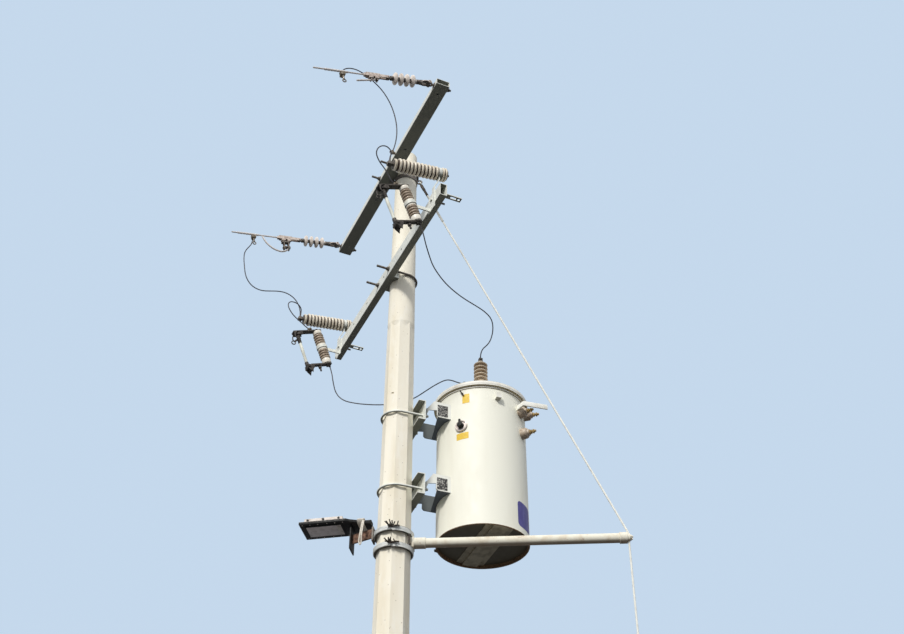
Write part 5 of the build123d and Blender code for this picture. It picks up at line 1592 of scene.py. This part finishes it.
@dataclass
class TankHangers(Assembly):
    """Hanger brackets, cross channels and the round bolts that clamp them to the pole."""

    heights: tuple[float, float] = (6.719, 6.158)
    shelf_start: float = 0.233
    shelf_slant: float = 0.052
    shelf_half: float = 0.131
    shelf_thick: float = 0.006
    shelf_bite: float = 0.002
    tank_middle: float = 0.594
    tank_radius: float = 0.301
    patch: Place = (0.072, 0.0008, 0.088)
    patch_x: float = 0.267
    patch_y: float = -0.1384
    patch_rise: float = 0.046

    def build(self) -> None:
        """Finishes the hangers and adds their shelves and blank patches."""
        half = self.shelf_half
        outline = [(self.shelf_start + self.shelf_slant, half), (self.shelf_start, -half)]
        for across in (half * (step / 6 - 1) for step in range(13)):
            wall = self.tank_middle - math.sqrt(self.tank_radius**2 - across**2)
            outline.append((wall + self.shelf_bite, across))
        shelves = [self.bench.prism(outline, self.shelf_thick, POLE_TURN @ at(0, 0, height - self.shelf_thick), 0.0008)
                   for height in self.heights]
        self.bench.complete(shelves, HANGER_ENAMEL, "hanger_shelves")
        self.bench.dress_nodes(HANGER_ENAMEL, "hanger_brackets")
        self.bench.dress_nodes(GALVANISED, "mount_channels", "pole_u_bolts")
        places = [POLE_TURN @ at(self.patch_x, self.patch_y, height + self.patch_rise) for height in self.heights]
        sheets = [self.bench.slab(self.patch, place, 0.0002) for place in places]
        self.bench.complete(sheets, DARK_PATCH, "hanger_patches")


# Bands, brace and guy
@dataclass
class PoleBands(Assembly):
    """Two bands of wound wire round the pole, their twisted ends and the bolt between them."""

    heights: tuple[float, float] = (5.845, 5.734)
    tall: float = 0.038
    out: float = 0.126197
    thick: float = 0.019
    wire: float = 0.0033
    turns: int = 6
    steps: int = 60
    knot_angle: float = math.radians(-117)
    knot_seed: int = 11
    knot_ends: int = 12
    end_radius: float = 0.0038
    bolt_angle: float = math.radians(-60)
    bolt_radius: float = 0.0065
    bolt_inset: float = 0.016

    def build(self) -> None:
        """Winds the bands, twists their ends and sets the bolt."""
        wound, packed, ends = [], [], []
        inner, outer, low = self.out - self.thick + 0.0004, self.out - 0.0055, self.tall / 2 - 0.002
        for number, height in enumerate(self.heights):
            path = []
            for step in range(self.turns * self.steps + 1):
                part = step / (self.turns * self.steps)
                turn = self.knot_angle + math.tau * self.turns * part
                reach = self.out - self.wire + 0.0006 * math.sin(3 * turn + 2.1 * part * self.turns) - 0.0004
                lift = (part - 0.5) * (self.tall - 2 * self.wire) + 0.0012 * math.sin(turn + 1.3 * number)
                path.append(Vector((reach * math.cos(turn), reach * math.sin(turn), height + lift)))
            wound.append(self.bench.tube([path], self.wire, 8))
            packed.append(self.bench.lathe([(inner, -low), (outer, -low), (outer, low), (inner, low), (inner, -low)],
                                           at(0, 0, height), 72))
            ends.append(self._knot(height, self.knot_seed + number))
        self.bench.complete(wound, BAND_WIRE, "band_windings", ("pole_bands",), 60)
        self.bench.complete(packed, HARDWARE, "band_cores", ("pole_bands",))
        self.bench.complete(ends, DARK_IRON, "twisted_band_ends", smooth=60)
        reach = self.out - 0.006
        foot = at(reach * math.cos(self.bolt_angle), reach * math.sin(self.bolt_angle),
                  self.heights[1] + self.bolt_inset)
        span = self.heights[0] - self.heights[1] - 2 * self.bolt_inset
        bolt = [self.bench.rod(self.bolt_radius, 0, span, foot), self.bench.nut(0.02, 0.01, foot @ at(0, 0, 0.003)),
                self.bench.nut(0.02, 0.01, foot @ at(0, 0, span - 0.013))]
        self.bench.complete(bolt, DARK_IRON, "band_bolt")

    def _knot(self, height: float, seed: int) -> Piece:
        """Twists the ends of a band's wires into a ragged bunch.

        Args:
            height: the band's height.
            seed: seed of the ends' directions.

        Returns:
            The bunch as one piece.
        """
        chance = random.Random(seed)
        across = Vector((-math.sin(self.knot_angle), math.cos(self.knot_angle), 0))
        out = Vector((math.cos(self.knot_angle), math.sin(self.knot_angle), 0))
        up = Vector((0, 0, 1))
        start = out * (self.out + 0.002) + up * (height + 0.006)
        spine = [start + across * (0.045 - 0.009 * step) + out * (0.004 * math.sin(step * 0.5))
                 + up * 0.002 * math.sin(step) for step in range(9)]
        tails = []
        for number in range(self.knot_ends):
            root = start + across * chance.uniform(-0.022, 0.028)
            way = (out * chance.uniform(0.5, 1.0) + up * chance.uniform(-0.5, 1.1)
                   + across * chance.uniform(-0.9, 0.9)).normalized()
            reach = chance.uniform(0.024, 0.046)
            bend = way.orthogonal().normalized() * chance.uniform(-0.006, 0.006)
            tails.append(smooth_line([root, root + way * reach * 0.4 + bend, root + way * reach * 0.75 + bend * 1.6,
                                      root + way * reach + bend * (1 + number % 2)], 3))
        return self.bench.join(self.bench.strands(smooth_line(spine, 5), 0.0034, 0.003, 2, 0.02),
                               self.bench.tube(tails, self.end_radius))


@dataclass
class BraceAndGuy(Assembly):
    """Brace pipe, its socket and end fitting, and the guy that runs over its end to the anchor."""

    turn: float = math.radians(-27.7)
    height: float = 5.796
    reach: float = 1.448
    pipe_radius: float = 0.0302
    socket_end: float = 0.195397
    socket_length: float = 0.092
    socket_radius: float = 0.0352
    weld_radius: float = 0.0035
    far_weld: float = 1.396
    band_height: float = 8.93
    rod_eye: float = 0.417
    loop: float = 0.016
    step_down: float = 0.0058
    grip: float = 0.46
    bend_rise: float = 0.036
    bend_cut: float = 0.012
    strand_step: float = 0.0125
    grip_step: float = 0.006

    def along(self, reach: float, height: float) -> Vector:
        """Gives the point that far out along the brace at a height."""
        return Vector((math.cos(self.turn) * reach, math.sin(self.turn) * reach, height))

    def build(self) -> None:
        """Finishes the brace and lays up the guy strand."""
        self.bench.dress_nodes(PIPE_PAINT, "brace_pipe", "brace_end_fitting")
        self.bench.dress_nodes(HARDWARE, "guy_band", "anchor_rod")
        way, rim, long = self.along(1, 0), self.socket_radius, self.socket_length
        tube = self.bench.lathe([(0, 0), (rim, 0), (rim, long - 0.003), (rim - 0.0012, long - 0.0005),
                                 (rim - 0.004, long), (0.0308, long - 0.004), (0, long - 0.004)],
                                stand(self.along(self.socket_end - long, self.height), way), 56)
        level = self.height - 0.0065
        root = self.bench.beam(self.along(0.1, level), self.along(0.128, level), (0.07, 0.076), edge=0.004)
        self.bench.complete([tube, root], PIPE_PAINT, "brace_socket_tube", ("brace_socket",))
        weld = [(self.pipe_radius + 0.003 + x, y) for x, y in circle(self.weld_radius, 10)]
        places = [stand(self.along(reach, self.height), way) for reach in (self.socket_end, self.far_weld)]
        self.bench.complete([self.bench.copies(self.bench.lathe([*weld, weld[0]], Matrix(), 48), places)], PIPE_PAINT,
                            "brace_weld_beads")
        self._guy()

    def _guy(self) -> None:
        """Lays up the guy's strand, the wrapped grips at both ends, their loops and the dark sleeve."""
        eye = self.along(round_radius(self.band_height) + 0.023, self.band_height)
        bend = self.along(self.reach, self.height + self.bend_rise)
        way = (bend - eye).normalized()
        start = self.step_down + 2 * self.loop
        head, foot = eye + way * start, self.along(self.reach, self.rod_eye + start)
        before, after = bend - way * self.bend_cut, bend - Vector((0, 0, self.bend_cut))
        ease = (after - before) * 0.12
        path = self._sample([head, before, (before + bend) / 2 + ease, (after + bend) / 2 - ease, after, foot],
                            self.strand_step)
        wires = [self.bench.strands(path, 0.0052, 0.0012, 12, 0.2), self.bench.tube([path], 0.0056, 12)]
        for run in ([head, eye + way * self.grip], [foot, self.along(self.reach, self.rod_eye + self.grip)]):
            wires.append(self.bench.strands(self._sample(run, self.grip_step), 0.0076, 0.0015, 14, 0.055))
        side = Vector((-math.sin(self.turn), math.cos(self.turn), 0))
        for middle, first in ((eye + way * (self.step_down + self.loop), way),
                              (self.along(self.reach, self.rod_eye + start - self.loop), Vector((0, 0, 1)))):
            ring = [middle + x * first + y * side for x, y in circle(self.loop, 48)]
            wires.append(self.bench.strands([*ring, ring[0]], 0.0029, 0.0021, 3, math.tau * self.loop / 3))
            wires.append(self.bench.tube([ring], 0.0016, 6, closed=True))
        sleeve = [(0, 0), (0.009, 0), (0.0115, 0.004), (0.0115, 0.06), (0.0095, 0.064), (0.0095, 0.128),
                  (0.0078, 0.134), (0, 0.134)]
        self.bench.complete([self.bench.lathe(sleeve, stand(eye + way * (start - 0.004), way), 24)], DARK_IRON,
                            "guy_top_sleeve")
        self.bench.complete(wires, STRAND, "guy_strand", ("guy_wire", "lower_guy_wire"), 60)

    @staticmethod
    def _sample(corners: Sequence[Vector], step: float) -> list[Vector]:
        """Gives points a step apart along straight runs.

        Args:
            corners: the corners of the runs.
            step: distance between two points.

        Returns:
            The points, every corner among them.
        """
        points = [corners[0]]
        for start, end in zip(corners, corners[1:]):
            count = max(1, round((end - start).length / step))
            points += [start.lerp(end, number / count) for number in range(1, count + 1)]
        return points


# Street lamp
@dataclass
class StreetLamp(Assembly):
    """Flat street lamp with its lens, screws, bracket and tie."""

    turn: float = math.radians(145.2)
    middle: float = 0.443
    underside: float = 5.934
    length: float = 0.3
    width: float = 0.2
    plate: float = 0.018
    box_inset: float = 0.026
    box_height: float = 0.034
    neck: float = 0.15
    neck_half: float = 0.035
    taper: float = 0.02
    lens: Place = (0.237, 0.136, 0.006)
    bezel: float = 0.007
    strip: float = 0.026
    screw_rows: float = 0.085
    screw_shifts: tuple[float, ...] = (-0.13, -0.08, -0.03, 0.03, 0.08, 0.13)
    bolt_shifts: tuple[float, ...] = (-0.1, 0.0, 0.1)
    flange: float = 0.268
    arm_height: float = 0.064
    arm_rise: float = 0.034
    arm_middle: float = 5.85
    arm_thick: float = 0.012
    flange_low: float = 5.767
    band_out: float = 0.126397
    tie_out: float = 0.203
    tie_turns: tuple[float, ...] = (-0.018, -0.011, -0.004, 0.003, 0.01, 0.017)
    tie_radius: float = 0.0036
    tail_out: float = 0.177
    tail_radius: float = 0.0024

    def frame(self) -> Matrix:
        """Gives the lamp's frame, whose X runs out from the pole."""
        return Matrix.Rotation(self.turn, 4, "Z")

    def build(self) -> None:
        """Models the head, the lens, the screws, the bracket and the tie."""
        self._head()
        self._lens()
        self._screws()
        self._bracket()
        self._tie()

    def _head(self) -> None:
        """Models the plate with its tapered neck and the raised box on it."""
        start, end, half = self.middle - self.length / 2, self.middle + self.length / 2, self.width / 2
        side = [(start - self.neck, self.neck_half), (start - self.taper, half - 0.016), (start, half), (end, half)]
        outline = [*((x, -y) for x, y in side), *reversed(side)]
        frame, top = self.frame(), self.underside + self.plate
        plate = self.bench.prism(outline, self.plate, frame @ at(0, 0, self.underside), 0.002)
        self.bench.dress(plate, LAMP_BLACK, LAMP_GREY)
        inverse = frame.inverted()
        self.bench.paint(plate, 1, lambda spot: spot.z > top - 0.0021 and (inverse @ spot).x > start - 0.001)
        box = self.bench.slab((self.length - 2 * self.box_inset, self.width - 2 * self.box_inset, self.box_height),
                              frame @ at(self.middle, 0, top + self.box_height / 2), 0.004)
        rib = self.bench.slab((self.neck, 0.052, 0.016), frame @ at(start - self.neck / 2, 0, top + 0.008), 0.003)
        head = self.bench.join(plate, self.bench.dress(box, LAMP_GREY), self.bench.dress(rib, LAMP_BLACK))
        self.bench.set_down(head, "lamp_head_shell", "lamp_black", nodes=("lamp_head",))

    def _lens(self) -> None:
        """Models the lens, its bezel and the paler strip at its inner end."""
        (long, wide, thick), rim = self.lens, self.bezel
        frame = self.frame() @ at(self.middle, 0, self.underside - thick / 2 - 0.0002)
        lens = self.bench.dress(self.bench.slab((long - 0.012, wide - 0.012, thick - 0.001), frame, 0.0015), LAMP_GLASS)
        bars = []
        for side in (-0.5, 0.5):
            bars.append(self.bench.slab((long, rim, thick), frame @ at(0, side * (wide - rim), 0), 0.001))
            bars.append(self.bench.slab((rim, wide - 2 * rim, thick), frame @ at(side * (long - rim), 0, 0), 0.001))
        strip = self.bench.slab((self.strip, wide - 0.022, 0.001),
                                frame @ at(-long / 2 + 0.022, 0, -thick / 2 + 0.0002), 0.0003)
        bezel = self.bench.dress(self.bench.join(*bars), LAMP_BLACK)
        whole = self.bench.join(lens, bezel, self.bench.dress(strip, LAMP_GREY))
        self.bench.set_down(whole, "lamp_lens_and_bezel", "lamp_lens", nodes=("lamp_lens",))

    def _screws(self) -> None:
        """Sets the screws under the rim and the bolts on the box's near side."""
        dome = [(0, -0.0022), (0.0022, -0.002), (0.0036, -0.0008), (0.004, 0.0004), (0, 0.0004)]
        places = [self.frame() @ at(self.middle + shift, across, self.underside)
                  for across in (-self.screw_rows, self.screw_rows) for shift in self.screw_shifts]
        screws = self.bench.dress(self.bench.copies(self.bench.lathe(dome, Matrix(), 16), places), LAMP_GREY)
        side, level = self.width / 2 - self.box_inset, self.underside + 0.038
        bolts = [self.bench.nut(0.014, 0.006, self.frame() @ stand((self.middle + shift, side, level), (0, 1, 0),
                                                                   (1, 0, 0))) for shift in self.bolt_shifts]
        bolts = self.bench.dress(self.bench.join(*bolts), LAMP_BLACK)
        self.bench.set_down(self.bench.join(screws, bolts), "lamp_screws", "lamp_black")

    def _bracket(self) -> None:
        """Models the pad on the band, the rusty sloped arm and the dark upright plate."""
        frame, half, thick = self.frame(), self.arm_height / 2, self.arm_thick
        root, tip = self.arm_middle + self.arm_rise, self.arm_middle
        outline = [(self.band_out, root - half), (self.flange, tip - half), (self.flange, tip + half),
                   (self.band_out, root + half)]
        arm = self.bench.prism(outline, thick, frame @ at(0, thick / 2, 0) @ ON_EDGE, 0.0015)
        pad = self.bench.slab((0.01, 0.06, self.arm_height + self.arm_rise),
                              frame @ at(self.band_out + 0.005, 0, (root + tip) / 2), 0.001)
        high = self.underside - 0.0002
        upright = self.bench.slab((0.008, 0.1, high - self.flange_low),
                                  frame @ at(self.flange, 0, (high + self.flange_low) / 2), 0.001)
        plates = self.bench.join(self.bench.dress(arm, RUSTY_BAR), self.bench.dress(pad, HARDWARE),
                                 self.bench.dress(upright, LAMP_BLACK))
        self.bench.set_down(plates, "lamp_bracket_plates", "lamp_black", nodes=("lamp_bracket",))

    def _tie(self) -> None:
        """Ties the neck to the arm with a thin pale tie."""
        frame, low, top = self.frame(), self.underside, self.underside + self.plate + 0.018
        side = [(0.05, top - 0.004), (0.078, low + 0.014), (0.06, low - 0.004)]
        close = [(0.0, top), *side, (0.0, low - 0.006), *((-y, z) for y, z in reversed(side))]
        turns = [[frame @ Vector((self.tie_out + shift, y, z)) for y, z in close] for shift in self.tie_turns]
        loop = [(0.0, 0.0735, low + 0.006), (0.004, 0.075, low - 0.03), (0.012, 0.07, self.arm_middle - 0.01),
                (0.014, 0.058, self.arm_middle - 0.05), (0.024, 0.05, self.arm_middle - 0.066),
                (0.03, 0.056, self.arm_middle - 0.04), (0.022, 0.068, self.arm_middle), (0.012, 0.075, low - 0.02),
                (0.006, 0.074, low + 0.006)]
        tails = [[frame @ Vector((self.tail_out + x + shift, y, z)) for x, y, z in smooth_line(loop, 5)]
                 for shift in (0.0, 0.004)]
        self.bench.complete([self.bench.tube(turns, self.tie_radius, 8, closed=True),
                             self.bench.tube(tails, self.tail_radius, 8)], PALE_TIE, "lamp_tie", smooth=60)


def main() -> None:
    """Builds the studio, the wires and every sub-assembly."""
    logging.basicConfig(level=logging.INFO, format="%(message)s")
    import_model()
    bench = Bench()
    Studio().build()
    for wire in JUMPERS:
        wire.build(bench)
    for assembly in (PoleAndCrossarms, DeadEndStrings, SurgeArresters, FusedCutouts, TransformerTank, TankHangers,
                     PoleBands, BraceAndGuy, StreetLamp):
        assembly(bench).build()
        LOG.info("%s built", assembly.__name__)


if __name__ == "__main__":
    main()
